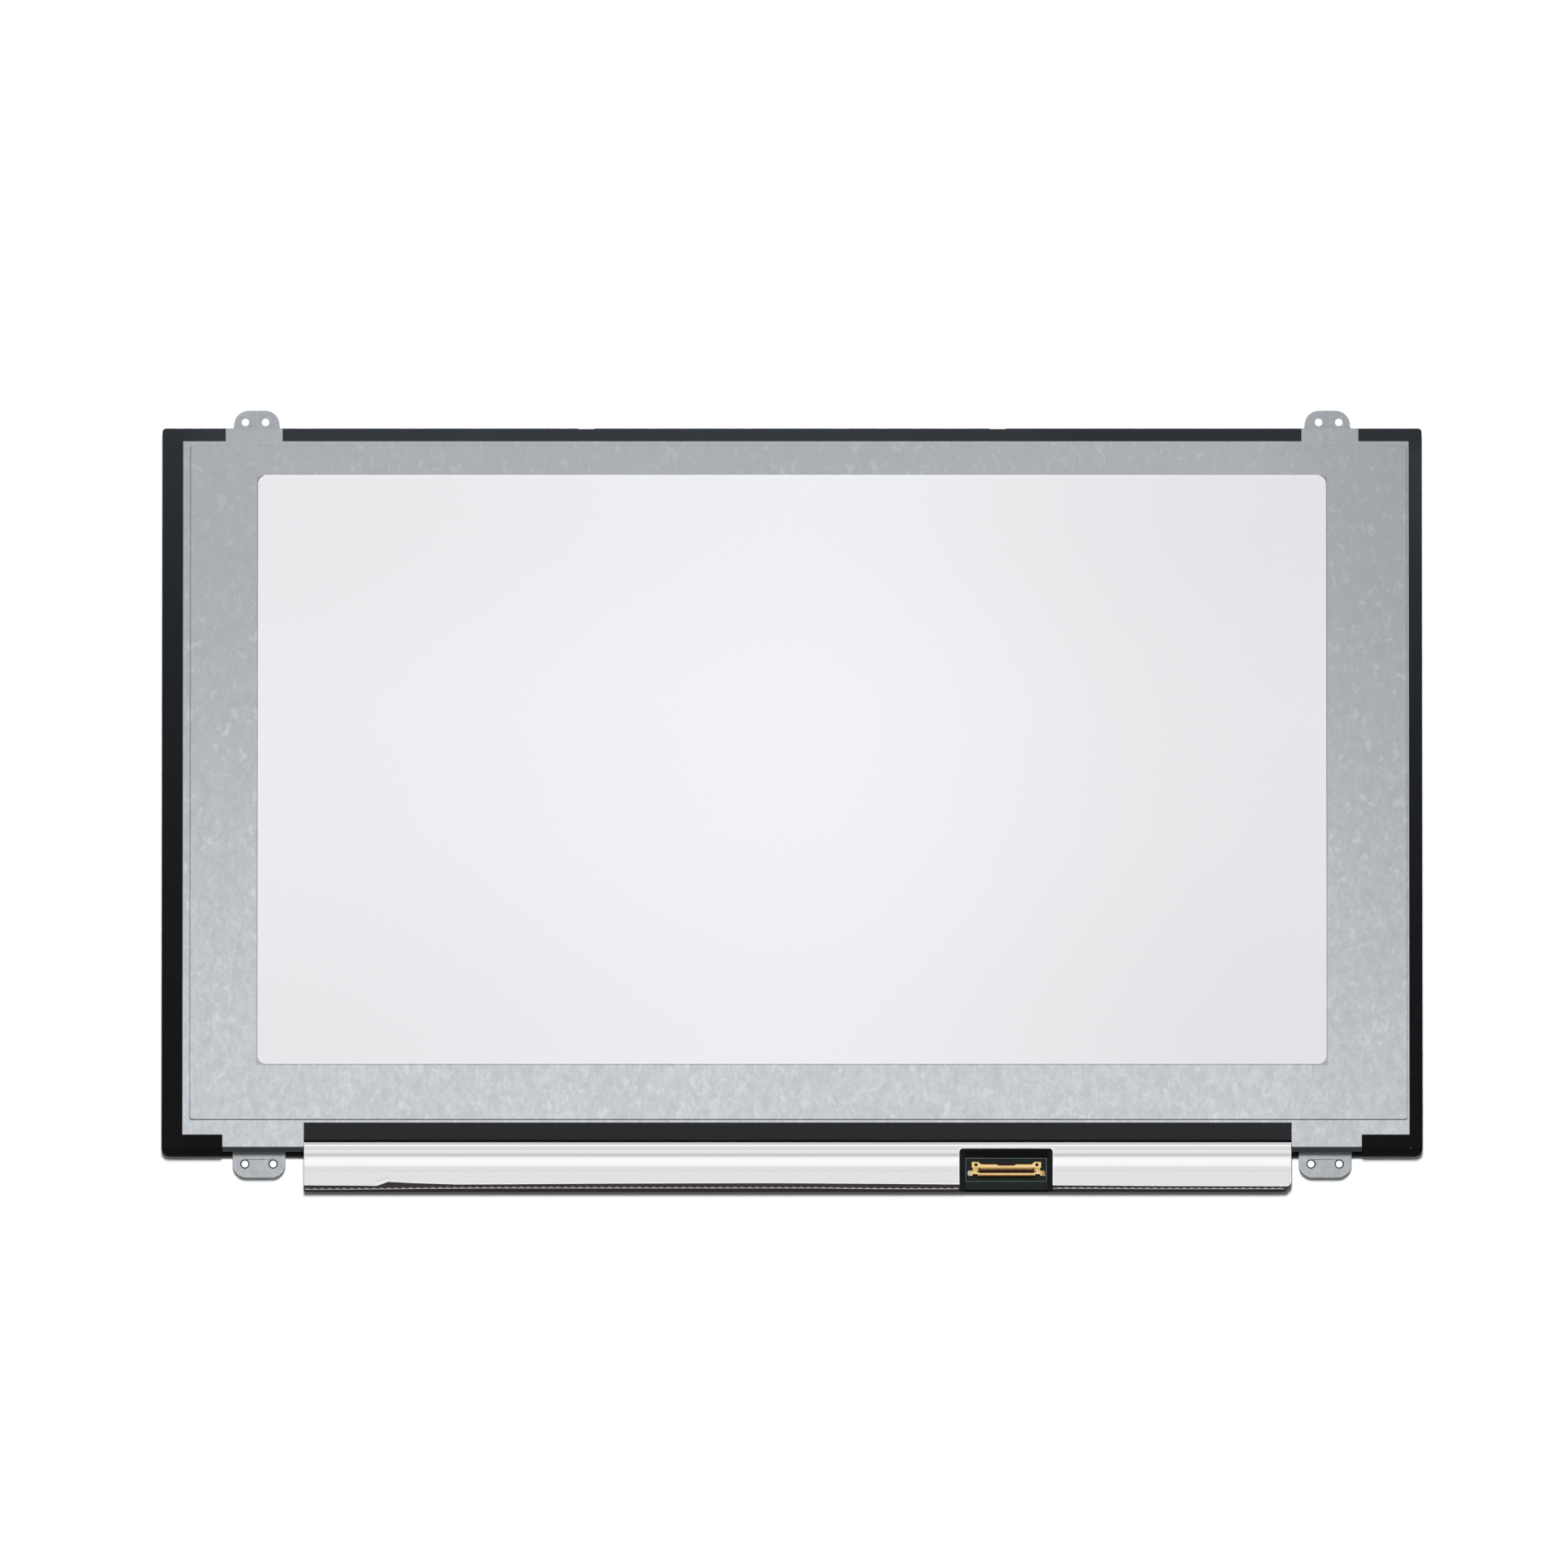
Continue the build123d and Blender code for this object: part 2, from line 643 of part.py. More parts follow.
# Connector shell: gold plated sheet with two pierced ears on feet, a bent bar, a front rail and solder legs
with BuildPart() as connector_shell:
    bar_path = [(bar_top_y, shell_top), (lip_y, shell_top), (bar_bottom_y, shell_top - lip_drop)]
    bar_left = connector_middle - bar_half
    bar_right = connector_middle + bar_half
    add(bent_sheet(bar_path, (lip_radius,), shell_thickness, Side.LEFT, bar_left, bar_right).part)
    with BuildSketch(Plane.XY.offset(shell_z - lip_drop)):
        recess_bottom_y = bar_top_y - bar_recess_depth
        recess_half = bar_recess_width / 2
        with BuildLine():
            Polyline(
                (connector_middle - recess_half - bar_recess_slant, bar_top_y),
                (connector_middle - recess_half, recess_bottom_y),
                (connector_middle + recess_half, recess_bottom_y),
                (connector_middle + recess_half + bar_recess_slant, bar_top_y),
                close=True,
            )
        make_face()
        for step in (-2, -1, 1, 2):
            with Locations((connector_middle + step * lip_notch_pitch, bar_bottom_y)):
                Rectangle(lip_notch, 2 * lip_notch)
    extrude(amount=lip_drop + shell_thickness, mode=Mode.SUBTRACT)
    with BuildSketch(Plane.XY.offset(shell_z)):
        for side in (-1, 1):
            ear_middle = connector_middle + side * (shell_width - ear_width) / 2
            ear_outer = ear_middle + side * ear_width / 2
            ear_inner = ear_middle - side * ear_width / 2
            with BuildLine():
                Polyline(
                    (ear_outer, shell_top_y),
                    (ear_inner + side * ear_slant / 2, shell_top_y),
                    (ear_inner - side * ear_slant / 2, bar_top_y),
                    (ear_inner - side * ear_slant / 2, shell_top_y - ear_depth),
                    (ear_outer, shell_top_y - ear_depth),
                    close=True,
                )
            make_face()
            lay(around(ear_middle, foot_width, foot_end_y, shell_top_y))
            with Locations((ear_middle, shell_top_y - ear_depth / 2)):
                Rectangle(ear_hole, ear_hole, mode=Mode.SUBTRACT)
            with Locations((ear_middle - side * foot_hole_shift, foot_end_y + foot_hole_inset)):
                Circle(foot_hole_radius, mode=Mode.SUBTRACT)
    extrude(amount=shell_thickness)
    for side in (-1, 1):
        ear_middle = connector_middle + side * (shell_width - ear_width) / 2
        wall = around(ear_middle, foot_width, foot_end_y, foot_end_y + shell_thickness)
        block(wall, board_top, shell_top)
        foot_edge = ear_middle + side * foot_width / 2
        leg_end = connector_middle + side * (shell_width / 2 + leg_length)
        leg_bottom = foot_end_y - leg_drop
        leg = Area(min(foot_edge, leg_end), max(foot_edge, leg_end), leg_bottom, leg_bottom + leg_depth)
        block(leg, board_top, board_top + shell_thickness)
    rail_half = (shell_width - ear_width - foot_width) / 2 + rail_lap
    rail = around(connector_middle, 2 * rail_half, shell_bottom_y, rail_top_y)
    with BuildSketch(Plane.YZ.offset(rail.left)) as rail_end:
        with Locations(((rail.bottom + rail.top) / 2, contact_z + rail_height / 2)):
            Rectangle(rail.top - rail.bottom, rail_height)
        fillet(rail_end.vertices().group_by(Axis.Y)[-1], rail_radius)
    extrude(amount=rail.right - rail.left)

# Connector housing: a moulded floor and a body under the shell, with a tunnel for the contacts
slot_bottom_y = rail_top_y + housing_gap
with BuildPart() as connector_housing:
    floor = around(connector_middle, 2 * bar_half, shell_bottom_y, bar_top_y)
    block(floor, board_top, contact_z)
    body = around(connector_middle, 2 * bar_half, lip_y + lip_radius, bar_top_y)
    block(body, contact_z, shell_z)
    tunnel = around(connector_middle, contact_span, body.bottom, bar_top_y)
    tunnel_top = contact_z + contact_thickness + contact_clearance
    block(tunnel, contact_z, tunnel_top, mode=Mode.SUBTRACT)

# Connector contacts: strips that lie in the slot, pass the body and step down to the board
with BuildPart() as connector_contacts:
    step_y = bar_top_y + contact_clearance
    with BuildSketch(Plane.YZ.offset(connector_middle)) as strip:
        with BuildLine():
            Polyline(
                (slot_bottom_y, contact_z),
                (step_y, contact_z),
                (step_y, board_top),
                (step_y + tail_reach, board_top),
                (step_y + tail_reach, board_top + contact_thickness),
                (step_y + contact_thickness, board_top + contact_thickness),
                (step_y + contact_thickness, contact_z + contact_thickness),
                (slot_bottom_y, contact_z + contact_thickness),
                close=True,
            )
        make_face()
    contact = extrude(strip.sketch, amount=contact_width / 2, both=True, mode=Mode.PRIVATE)
    with GridLocations(contact_pitch, 1, contact_count, 1):
        add(contact)


def cut_corner():
    """Cuts the wrap's lower right corner off the part that is open, at a slant."""
    with BuildSketch() as corner:
        with BuildLine():
            Polyline(
                (film_right, edge_y),
                (film_right, edge_y + corner_cut),
                (film_right - corner_cut, edge_y),
                close=True,
            )
        make_face()
    extrude(corner.sketch, amount=plate_top, mode=Mode.SUBTRACT)


# Cover film: black sheet stuck on the plate's flange, over the board and round to the front
with BuildPart() as cover_film:
    add(bent_sheet(wrap_path, wrap_radii, film_thickness, Side.LEFT, -film_left, film_right).part)
    block(film_notch, array_z, plate_top, mode=Mode.SUBTRACT)
    for seam_x in (film_notch.left, film_notch.right):
        seam = around(seam_x, film_seam, edge_y, crease.bottom)
        block(seam, front_leg_z, plate_top, mode=Mode.SUBTRACT)
    for left in (-film_left, film_right - front_leg_inset):
        spare = Area(left, left + front_leg_inset, edge_y, wrap_path[-1][0])
        block(spare, front_leg_z, array_z, mode=Mode.SUBTRACT)
    cut_corner()

# Shield foil: bright foil on the film's rear, with a notch for the connector and a torn nick
crest, shoulder = wrap_path[3], wrap_path[4]


def down_slope(y):
    """The point at a given Y on the wrap's long slope, from its crest to its shoulder."""
    share = (y - crest[0]) / (shoulder[0] - crest[0])
    return (y, crest[1] + share * (shoulder[1] - crest[1]))


foil_edge = shoulder[0] + foil_inset
foil_path = [(wrap_path[0][0] - black_band, wrap_path[0][1]), *wrap_path[1:4], down_slope(foil_edge)]
nick_start = nick_inset - film_left
with BuildPart() as shield_foil:
    add(bent_sheet(foil_path, wrap_radii[:3], foil_thickness, Side.RIGHT, -film_left, film_right).part)
    with BuildSketch():
        lay(foil_notch, notch_radius)
        with BuildLine():
            Polyline(
                (nick_start, foil_edge - foil_thickness),
                (nick_start + nick_peak, foil_edge + nick_depth),
                (nick_start + nick_length, foil_edge - foil_thickness),
                close=True,
            )
        make_face()
        with BuildLine():
            Polyline(
                (film_right, foil_edge - foil_thickness),
                (film_right, foil_edge + foil_corner_cut),
                (film_right - foil_corner_cut, foil_edge - foil_thickness),
                close=True,
            )
        make_face()
    extrude(amount=plate_top + film_thickness + foil_thickness, mode=Mode.SUBTRACT)

# Edge tape: narrow grey tape below the foil, pinked along its upper side
tape_low = shoulder[0] + tape_inset
tape_top = tape_low + tape_width
tooth_count = round((film_left + film_right) / tooth_pitch)
half_tooth = (film_left + film_right) / tooth_count / 2
teeth = [
    (-film_left + index * half_tooth, tape_top - (index % 2) * tooth_depth)
    for index in range(2 * tooth_count + 1)
]
with BuildPart() as edge_tape:
    tape_path = [down_slope(tape_top), down_slope(tape_low)]
    add(bent_sheet(tape_path, (), tape_thickness, Side.RIGHT, -film_left, film_right).part)
    with BuildSketch():
        with BuildLine():
            Polyline(*teeth, (film_right, edge_y), (-film_left, edge_y), close=True)
        make_face()
    extrude(amount=plate_top, mode=Mode.INTERSECT)
    block(foil_notch, 0, plate_top, mode=Mode.SUBTRACT)
    cut_corner()

nodes = {
    "front_polariser": front_polariser,
    "colour_filter_glass": colour_filter_glass,
    "array_glass": array_glass,
    "rear_polariser": rear_polariser,
    "rim_tape": rim_tape,
    "mould_frame": mould_frame,
    "upper_diffuser": upper_diffuser,
    "upper_prism_sheet": upper_prism_sheet,
    "lower_prism_sheet": lower_prism_sheet,
    "lower_diffuser": lower_diffuser,
    "light_guide": light_guide,
    "reflector_sheet": reflector_sheet,
    "led_flex": led_flex,
    "leds": leds,
    "rear_plate": rear_plate,
    "circuit_board": circuit_board,
    "driver_films": driver_films,
    "driver_chips": driver_chips,
    "timing_controller": timing_controller,
    "lamp_driver": lamp_driver,
    "inductors": inductors,
    "capacitors": capacitors,
    "lamp_socket": lamp_socket,
    "connector_housing": connector_housing,
    "connector_shell": connector_shell,
    "connector_contacts": connector_contacts,
    "cover_film": cover_film,
    "shield_foil": shield_foil,
    "edge_tape": edge_tape,
}
for name, piece in nodes.items():
    piece.part.label = name
    export_step(piece.part, f"parts/{name}.step")
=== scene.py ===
# %% [markdown]
# # The rear of a laptop screen panel
# This lesson dresses a slim 15.6-inch screen panel that lies face down on a white table.
# The solid pieces come from a CAD model, so their sizes and places are already right.
# Blender adds what the eye needs: finishes, thin bent sheets with soft bends, solder and print.

# %% Load the CAD frame
import math

import bmesh
import bpy
import numpy as np
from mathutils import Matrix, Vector


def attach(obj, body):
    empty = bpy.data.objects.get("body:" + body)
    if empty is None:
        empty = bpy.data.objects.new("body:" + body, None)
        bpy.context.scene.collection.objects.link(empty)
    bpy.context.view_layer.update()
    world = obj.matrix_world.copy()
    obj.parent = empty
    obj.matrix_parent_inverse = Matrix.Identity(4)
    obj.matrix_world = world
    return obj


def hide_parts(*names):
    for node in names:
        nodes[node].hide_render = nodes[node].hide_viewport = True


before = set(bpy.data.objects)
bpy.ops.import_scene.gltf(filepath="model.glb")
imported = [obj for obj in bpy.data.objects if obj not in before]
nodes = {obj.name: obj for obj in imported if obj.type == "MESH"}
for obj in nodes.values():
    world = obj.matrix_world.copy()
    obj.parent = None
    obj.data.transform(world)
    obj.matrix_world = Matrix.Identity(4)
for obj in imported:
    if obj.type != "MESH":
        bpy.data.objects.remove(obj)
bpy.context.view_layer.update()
MM = 0.001

# %% [markdown]
# ## Camera
# The picture was taken from almost straight above, so far away that parallel edges stay parallel.
# A camera far off with a very long lens does the same. It leans a few degrees towards the bottom
# edge, which lets the wrapped board's lower side show as a thin line.

# %% Camera
PICTURE_WIDTH = 447.3 * MM
LEAN = math.radians(5.56)
DISTANCE = 12.0
aim = Vector((-2.3, 4.8, 3.0)) * MM

camera_data = bpy.data.cameras.new("table_camera")
camera_data.sensor_width = 36.0
camera_data.lens = camera_data.sensor_width * DISTANCE / PICTURE_WIDTH
camera_data.clip_end = 4 * DISTANCE
camera = bpy.data.objects.new("table_camera", camera_data)
camera.location = aim + DISTANCE * Vector((0, -math.sin(LEAN), math.cos(LEAN)))
camera.rotation_euler = (LEAN, 0, 0)
bpy.context.scene.collection.objects.link(camera)
bpy.context.scene.camera = camera
bpy.context.scene.view_settings.view_transform = "Standard"
print("lens, mm:", round(camera_data.lens, 1))

# %% [markdown]
# ## Building node trees in a script
# Every finish below is a small tree of nodes. One helper adds a node, sets its options and then
# sets or links its inputs, so that each tree reads like a list of steps. Shorter helpers wrap the
# nodes for arithmetic, and one lays greys along a value.

# %% Node helper
def add_node(tree, kind, inputs=None, **options):
    """Adds a node to a tree. An input is either a plain value or another node's output socket."""
    node = tree.nodes.new(kind)
    for option, value in options.items():
        setattr(node, option, value)
    for name, value in (inputs or {}).items():
        if isinstance(value, bpy.types.NodeSocket):
            tree.links.new(value, node.inputs[name])
        else:
            node.inputs[name].default_value = value
    return node


def math_node(tree, operation, first, second=0.0, clamp=False):
    """One step of arithmetic; returns its result."""
    node = add_node(tree, "ShaderNodeMath", {0: first, 1: second}, operation=operation, use_clamp=clamp)
    return node.outputs[0]


def product(tree, first, second):
    """Two values multiplied."""
    return math_node(tree, "MULTIPLY", first, second)


def vector_node(tree, operation, first, second=(0, 0, 0)):
    """One step of vector arithmetic; returns a vector."""
    node = add_node(tree, "ShaderNodeVectorMath", {0: first, 1: second}, operation=operation)
    return node.outputs["Vector"]


def scaled(tree, vector, scale):
    """A vector made longer or shorter."""
    inputs = {0: vector, "Scale": scale}
    return add_node(tree, "ShaderNodeVectorMath", inputs, operation="SCALE").outputs["Vector"]


def tone_ramp(tree, value, tones):
    """Greys that follow a value: pairs of the value and its tone, in rising order of the value."""
    first, last = tones[0][0], tones[-1][0]
    inputs = {"Value": value, "From Min": first, "From Max": last}
    share = add_node(tree, "ShaderNodeMapRange", inputs).outputs["Result"]
    node = add_node(tree, "ShaderNodeValToRGB", {"Fac": share})
    stops = node.color_ramp.elements
    while len(stops) < len(tones):
        stops.new(0.5)
    for stop, (place, tone) in zip(stops, tones):
        stop.position = (place - first) / (last - first)
        stop.color = (tone, tone, tone, 1)
    return node.outputs["Color"]


print("node helpers:", add_node.__name__, math_node.__name__, vector_node.__name__, tone_ramp.__name__)

# %% [markdown]
# ## Table and light
# A white table under one large soft lamp, set towards the top edge, throws the short soft shadows
# along the bottom edges. Bright metal needs something to mirror, so the world is a pale studio:
# a little dimmer straight above, where the camera hangs, brighter towards the lamp, and darker
# near the horizon. Only mirrored and camera rays see that studio. The light that it throws on the
# object is a plain low grey, so a finish renders about as its colour is written.

# %% Table
TABLE_SIZE = 20.0
table_mesh = bpy.data.meshes.new("white_table")
half = TABLE_SIZE / 2
drop = 0.02 * MM
table_mesh.from_pydata(
    [(-half, -half, -drop), (half, -half, -drop), (half, half, -drop), (-half, half, -drop)],
    [],
    [(0, 1, 2, 3)],
)
table = bpy.data.objects.new("white_table", table_mesh)
bpy.context.scene.collection.objects.link(table)

table_white = bpy.data.materials.new("table_white")
table_white.use_nodes = True
tree = table_white.node_tree
shader = tree.nodes["Principled BSDF"]
shader.inputs["Base Color"].default_value = (1, 1, 1, 1)
shader.inputs["Roughness"].default_value = 0.9
shader.inputs["Specular IOR Level"].default_value = 0.0
table_mesh.materials.append(table_white)
print("table, m:", TABLE_SIZE)

# %% [markdown]
# The screw tabs stand off the table and shade it, yet the table looks white through their holes.
# One small painted lit spot under each hole makes it white there, and a painted shadow ring darkens
# the table round a lower one, as the tab shades it. The panel is nearly symmetric, so the spots are
# placed by the distance from the middle line.

# %% Lit spots under the screw holes
LIT_SPOTS = (  # X, Y, radius of the spot and of the dark ring, mm
    (150.33, 108.83, 1.3, 0.0),
    (156.08, 108.83, 1.3, 0.0),
    (147.93, -103.76, 0.9, 1.3),
    (155.98, -103.76, 0.9, 1.3),
)

WHITE = (1, 1, 1, 1)
RING_GREY = (0.04, 0.04, 0.04, 1)


def disc(tree, away, radius, blur):
    """1 inside a radius and 0 outside it, both sizes in millimetres."""
    inputs = {"Value": away, "From Min": radius * MM, "From Max": (radius + blur) * MM}
    inputs.update({"To Min": 1.0, "To Max": 0.0})
    return add_node(tree, "ShaderNodeMapRange", inputs).outputs["Result"]


place = add_node(tree, "ShaderNodeTexCoord").outputs["Object"]
axes = add_node(tree, "ShaderNodeSeparateXYZ", {"Vector": place}).outputs
inputs = {"X": math_node(tree, "ABSOLUTE", axes["X"]), "Y": axes["Y"]}
mirrored_place = add_node(tree, "ShaderNodeCombineXYZ", inputs).outputs["Vector"]
lit = shaded = 0.0
for x, y, radius, ring in LIT_SPOTS:
    inputs = {0: mirrored_place, 1: (x * MM, y * MM, 0)}
    away = add_node(tree, "ShaderNodeVectorMath", inputs, operation="DISTANCE").outputs["Value"]
    lit = math_node(tree, "MAXIMUM", disc(tree, away, radius, 0.15), lit)
    shaded = math_node(tree, "MAXIMUM", disc(tree, away, ring, 0.1), shaded)
# Painted light: the table glows white under each hole for camera rays.
seen_lit = product(tree, lit, add_node(tree, "ShaderNodeLightPath").outputs["Is Camera Ray"])
# Painted shadow: a dark ring round each lower hole.
rings = add_node(tree, "ShaderNodeMix", {0: shaded, 6: WHITE, 7: RING_GREY}, data_type="RGBA")
tree.links.new(rings.outputs[2], shader.inputs["Base Color"])
glow = add_node(tree, "ShaderNodeEmission", {"Color": WHITE, "Strength": 1.0}).outputs["Emission"]
inputs = {0: seen_lit, 1: shader.outputs["BSDF"], 2: glow}
surface = add_node(tree, "ShaderNodeMixShader", inputs).outputs["Shader"]
tree.links.new(surface, tree.nodes["Material Output"].inputs["Surface"])
print("lit spots:", 2 * len(LIT_SPOTS))

# %% Lamp
LAMP_HEIGHT = math.radians(60)
LAMP_DISTANCE = 8.0
lamp_data = bpy.data.lights.new("soft_lamp", "AREA")
lamp_data.shape = "RECTANGLE"
lamp_data.size = 1.6
lamp_data.size_y = 3.0
lamp_data.energy = 690
lamp = bpy.data.objects.new("soft_lamp", lamp_data)
lamp.location = LAMP_DISTANCE * Vector((0, math.cos(LAMP_HEIGHT), math.sin(LAMP_HEIGHT)))
lamp.rotation_euler = (LAMP_HEIGHT - math.pi / 2, 0, 0)
lamp.visible_glossy = False
bpy.context.scene.collection.objects.link(lamp)
print("lamp, W:", lamp_data.energy)

# %% Studio
world = bpy.data.worlds.new("studio")
bpy.context.scene.world = world
world.use_nodes = True
tree = world.node_tree
tree.nodes.clear()
direction = add_node(tree, "ShaderNodeTexCoord").outputs["Generated"]
axes = add_node(tree, "ShaderNodeSeparateXYZ", {"Vector": direction})
STUDIO_TONES = (  # direction towards the top edge and its tone
    (-0.50, 0.62),
    (-0.42, 0.68),
    (-0.30, 0.80),
    (-0.17, 0.90),
    (-0.077, 0.79),
    (0.02, 0.70),
    (0.07, 0.61),
    (0.10, 0.59),
    (0.13, 0.62),
    (0.17, 0.80),
    (0.21, 0.97),
    (0.25, 1.04),
    (0.8, 1.04),
)
studio = tone_ramp(tree, axes.outputs["Y"], STUDIO_TONES)
inputs = {"Value": axes.outputs["Z"], "From Min": 0.45, "From Max": 0.8, "To Min": 0.4, "To Max": 1.0}
overhead = add_node(tree, "ShaderNodeMapRange", inputs).outputs["Result"]
mirrored = add_node(tree, "ShaderNodeBackground", {"Color": studio, "Strength": overhead})
thrown = add_node(tree, "ShaderNodeBackground", {"Color": (0.93, 0.97, 1.0, 1), "Strength": 0.17})
seen = add_node(tree, "ShaderNodeBackground", {"Color": WHITE, "Strength": 1.0})
ray = add_node(tree, "ShaderNodeLightPath").outputs
shiny = math_node(tree, "MAXIMUM", ray["Is Glossy Ray"], ray["Is Transmission Ray"])
light = add_node(tree, "ShaderNodeMixShader", {0: shiny, 1: thrown.outputs[0], 2: mirrored.outputs[0]})
inputs = {0: ray["Is Camera Ray"], 1: light.outputs[0], 2: seen.outputs[0]}
light = add_node(tree, "ShaderNodeMixShader", inputs)
add_node(tree, "ShaderNodeOutputWorld", {"Surface": light.outputs[0]})
print("studio tones:", len(STUDIO_TONES))

# %% [markdown]
# ## Patterns that finishes share
# A finish reads the object's own coordinates, turned into millimetres, so a pattern's size is its
# real size. Four patterns do most of the work: soft clouds, crystals, a slow change from one place
# to another, and a relief that tips the surface a little.

# %% Pattern helpers
def millimetres(tree, stretch=(1, 1, 1), shift=(0, 0, 0)):
    """The surface's place on the object, in millimetres, stretched along its axes."""
    place = add_node(tree, "ShaderNodeTexCoord").outputs["Object"]
    scale = [1 / (MM * size) for size in stretch]
    inputs = {"Vector": place, "Scale": scale, "Location": shift}
    return add_node(tree, "ShaderNodeMapping", inputs).outputs["Vector"]


def clouds(tree, size, detail=3.0, stretch=(1, 1, 1), distortion=0.0):
    """Soft patches of about the given size in millimetres."""
    inputs = {
        "Vector": millimetres(tree, stretch),
        "Scale": 1 / size,
        "Detail": detail,
        "Distortion": distortion,
    }
    return add_node(tree, "ShaderNodeTexNoise", inputs).outputs["Fac"]


def along(tree, axis):
    """The surface's place along one axis, in millimetres."""
    return add_node(tree, "ShaderNodeSeparateXYZ", {"Vector": millimetres(tree)}).outputs[axis]


def slope(tree, axis, start, end):
    """A smooth change from 0 at one place to 1 at another, along one axis, in millimetres."""
    inputs = {"Value": along(tree, axis), "From Min": start, "From Max": end}
    node = add_node(tree, "ShaderNodeMapRange", inputs, interpolation_type="SMOOTHSTEP")
    return node.outputs["Result"]


def between(tree, value, low, high, to_low=0.0, to_high=1.0):
    """Stretches a pattern's range."""
    inputs = {"Value": value, "From Min": low, "From Max": high, "To Min": to_low, "To Max": to_high}
    return add_node(tree, "ShaderNodeMapRange", inputs).outputs["Result"]


def tint(tree, share, first, second):
    """A colour between two others, or between two patterns of colour."""
    first, second = ((*c, 1) if isinstance(c, tuple) else c for c in (first, second))
    inputs = {0: share, 6: first, 7: second}
    return add_node(tree, "ShaderNodeMix", inputs, data_type="RGBA").outputs[2]


def multiply(tree, first, second):
    """Two patterns of colour multiplied."""
    inputs = {0: 1.0, 6: first, 7: second}
    node = add_node(tree, "ShaderNodeMix", inputs, data_type="RGBA", blend_type="MULTIPLY")
    return node.outputs[2]


def relief(tree, height, depth):
    """A surface that rises and falls by a depth in millimetres."""
    inputs = {"Height": height, "Distance": depth * MM, "Strength": 1.0}
    return add_node(tree, "ShaderNodeBump", inputs).outputs["Normal"]


def spot(tree, x, y, length, width, turn=0.0):
    """One soft spot, 1 in its middle and 0 outside; sizes in millimetres, turn in degrees."""
    angle = math.radians(turn)
    place = vector_node(tree, "SUBTRACT", millimetres(tree), (x, y, 0))
    inputs = {"Vector": place, "Angle": -angle}
    place = add_node(tree, "ShaderNodeVectorRotate", inputs, rotation_type="Z_AXIS").outputs["Vector"]
    place = vector_node(tree, "MULTIPLY", place, (2 / length, 2 / width, 0))
    away = add_node(tree, "ShaderNodeVectorMath", {0: place}, operation="LENGTH").outputs["Value"]
    return between(tree, away, 1.0, 0.5)


def new_finish(name, steady):
    """A material, its node tree and its shader, with the values that stay the same all over."""
    material = bpy.data.materials.new(name)
    material.use_nodes = True
    shader = material.node_tree.nodes["Principled BSDF"]
    for socket, value in steady.items():
        shader.inputs[socket].default_value = value
    return material, material.node_tree, shader.inputs


def connect(tree, socket, value):
    """Links a pattern to one of the shader's sockets."""
    tree.links.new(value, socket)


def mottled(name, steady, pattern, colours, spread, roughness):
    """A finish whose one cloud pattern steers its colour and its roughness."""
    material, tree, shader = new_finish(name, steady)
    patches = clouds(tree, **pattern)
    connect(tree, shader["Base Color"], tint(tree, patches, *colours))
    connect(tree, shader["Roughness"], between(tree, patches, *spread, *roughness))
    return material


WIDE = (0.2, 0.8)  # the part of a pattern's range that is stretched over the roughness
NARROW = (0.3, 0.7)
print("patterns:", clouds.__name__, slope.__name__, relief.__name__, spot.__name__)

# %% [markdown]
# ## Galvanised steel
# The rear plate is pressed from sheet steel with a zinc coat. The zinc froze as tiny crystals, so
# the grey is mottled at the scale of a millimetre or two, with pale flecks that grow denser
# towards the bottom. Noise of three sizes gives patches, crystals and flecks, all a little longer
# in the direction of rolling, and a slow change along the plate paints the lower half brighter, a
# painted reflection. Two more patterns come from the mesh: painted shade on steep pressed slopes,
# and a painted highlight where a cut rim shines. Painted shade also darkens the plate towards its
# right and left sides, on its tabs, along the window and where the lower brackets bend down.

# %% Galvanised steel
ROLLING = (1, 1.6, 1)
SCRATCHES = ((-157.9, -96.05, 1.0, 0.35, 20), (-155.6, -95.65, 0.9, 0.35, 30))
# Colour of the painted shade on the steel.
STEEL_SHADE = (0.03, 0.03, 0.032)

galvanised_steel, tree, shader = new_finish("galvanised_steel", {"Metallic": 0.8})
patches = clouds(tree, 3.2, 2.0, ROLLING, 0.4)
crystals = clouds(tree, 1.3, 3.0, ROLLING, 0.6)
flecks = between(tree, clouds(tree, 1.9, 3.0, ROLLING, 0.8), 0.56, 0.70)
lower = slope(tree, "Y", 95, -95)
flecks = product(tree, flecks, between(tree, lower, 0, 1, 0.2, 0.6))
# Painted reflection: the plate is written brighter towards the bottom.
zinc = tint(tree, lower, (0.535, 0.56, 0.585), (0.81, 0.855, 0.887))
zinc = tint(tree, between(tree, patches, 0.35, 0.65, 0.0, 0.20), zinc, (0.44, 0.46, 0.50))
zinc = tint(tree, between(tree, crystals, 0.32, 0.66, 0.34, 0.0), zinc, (0.40, 0.42, 0.44))
zinc = tint(tree, product(tree, flecks, 0.9), zinc, (0.95, 0.98, 1.0))
zinc = tint(tree, between(tree, clouds(tree, 40, 2.0), 0.35, 0.65, 0.0, 0.10), zinc, (0.56, 0.56, 0.64))
print("nodes of the zinc's pattern:", len(tree.nodes))
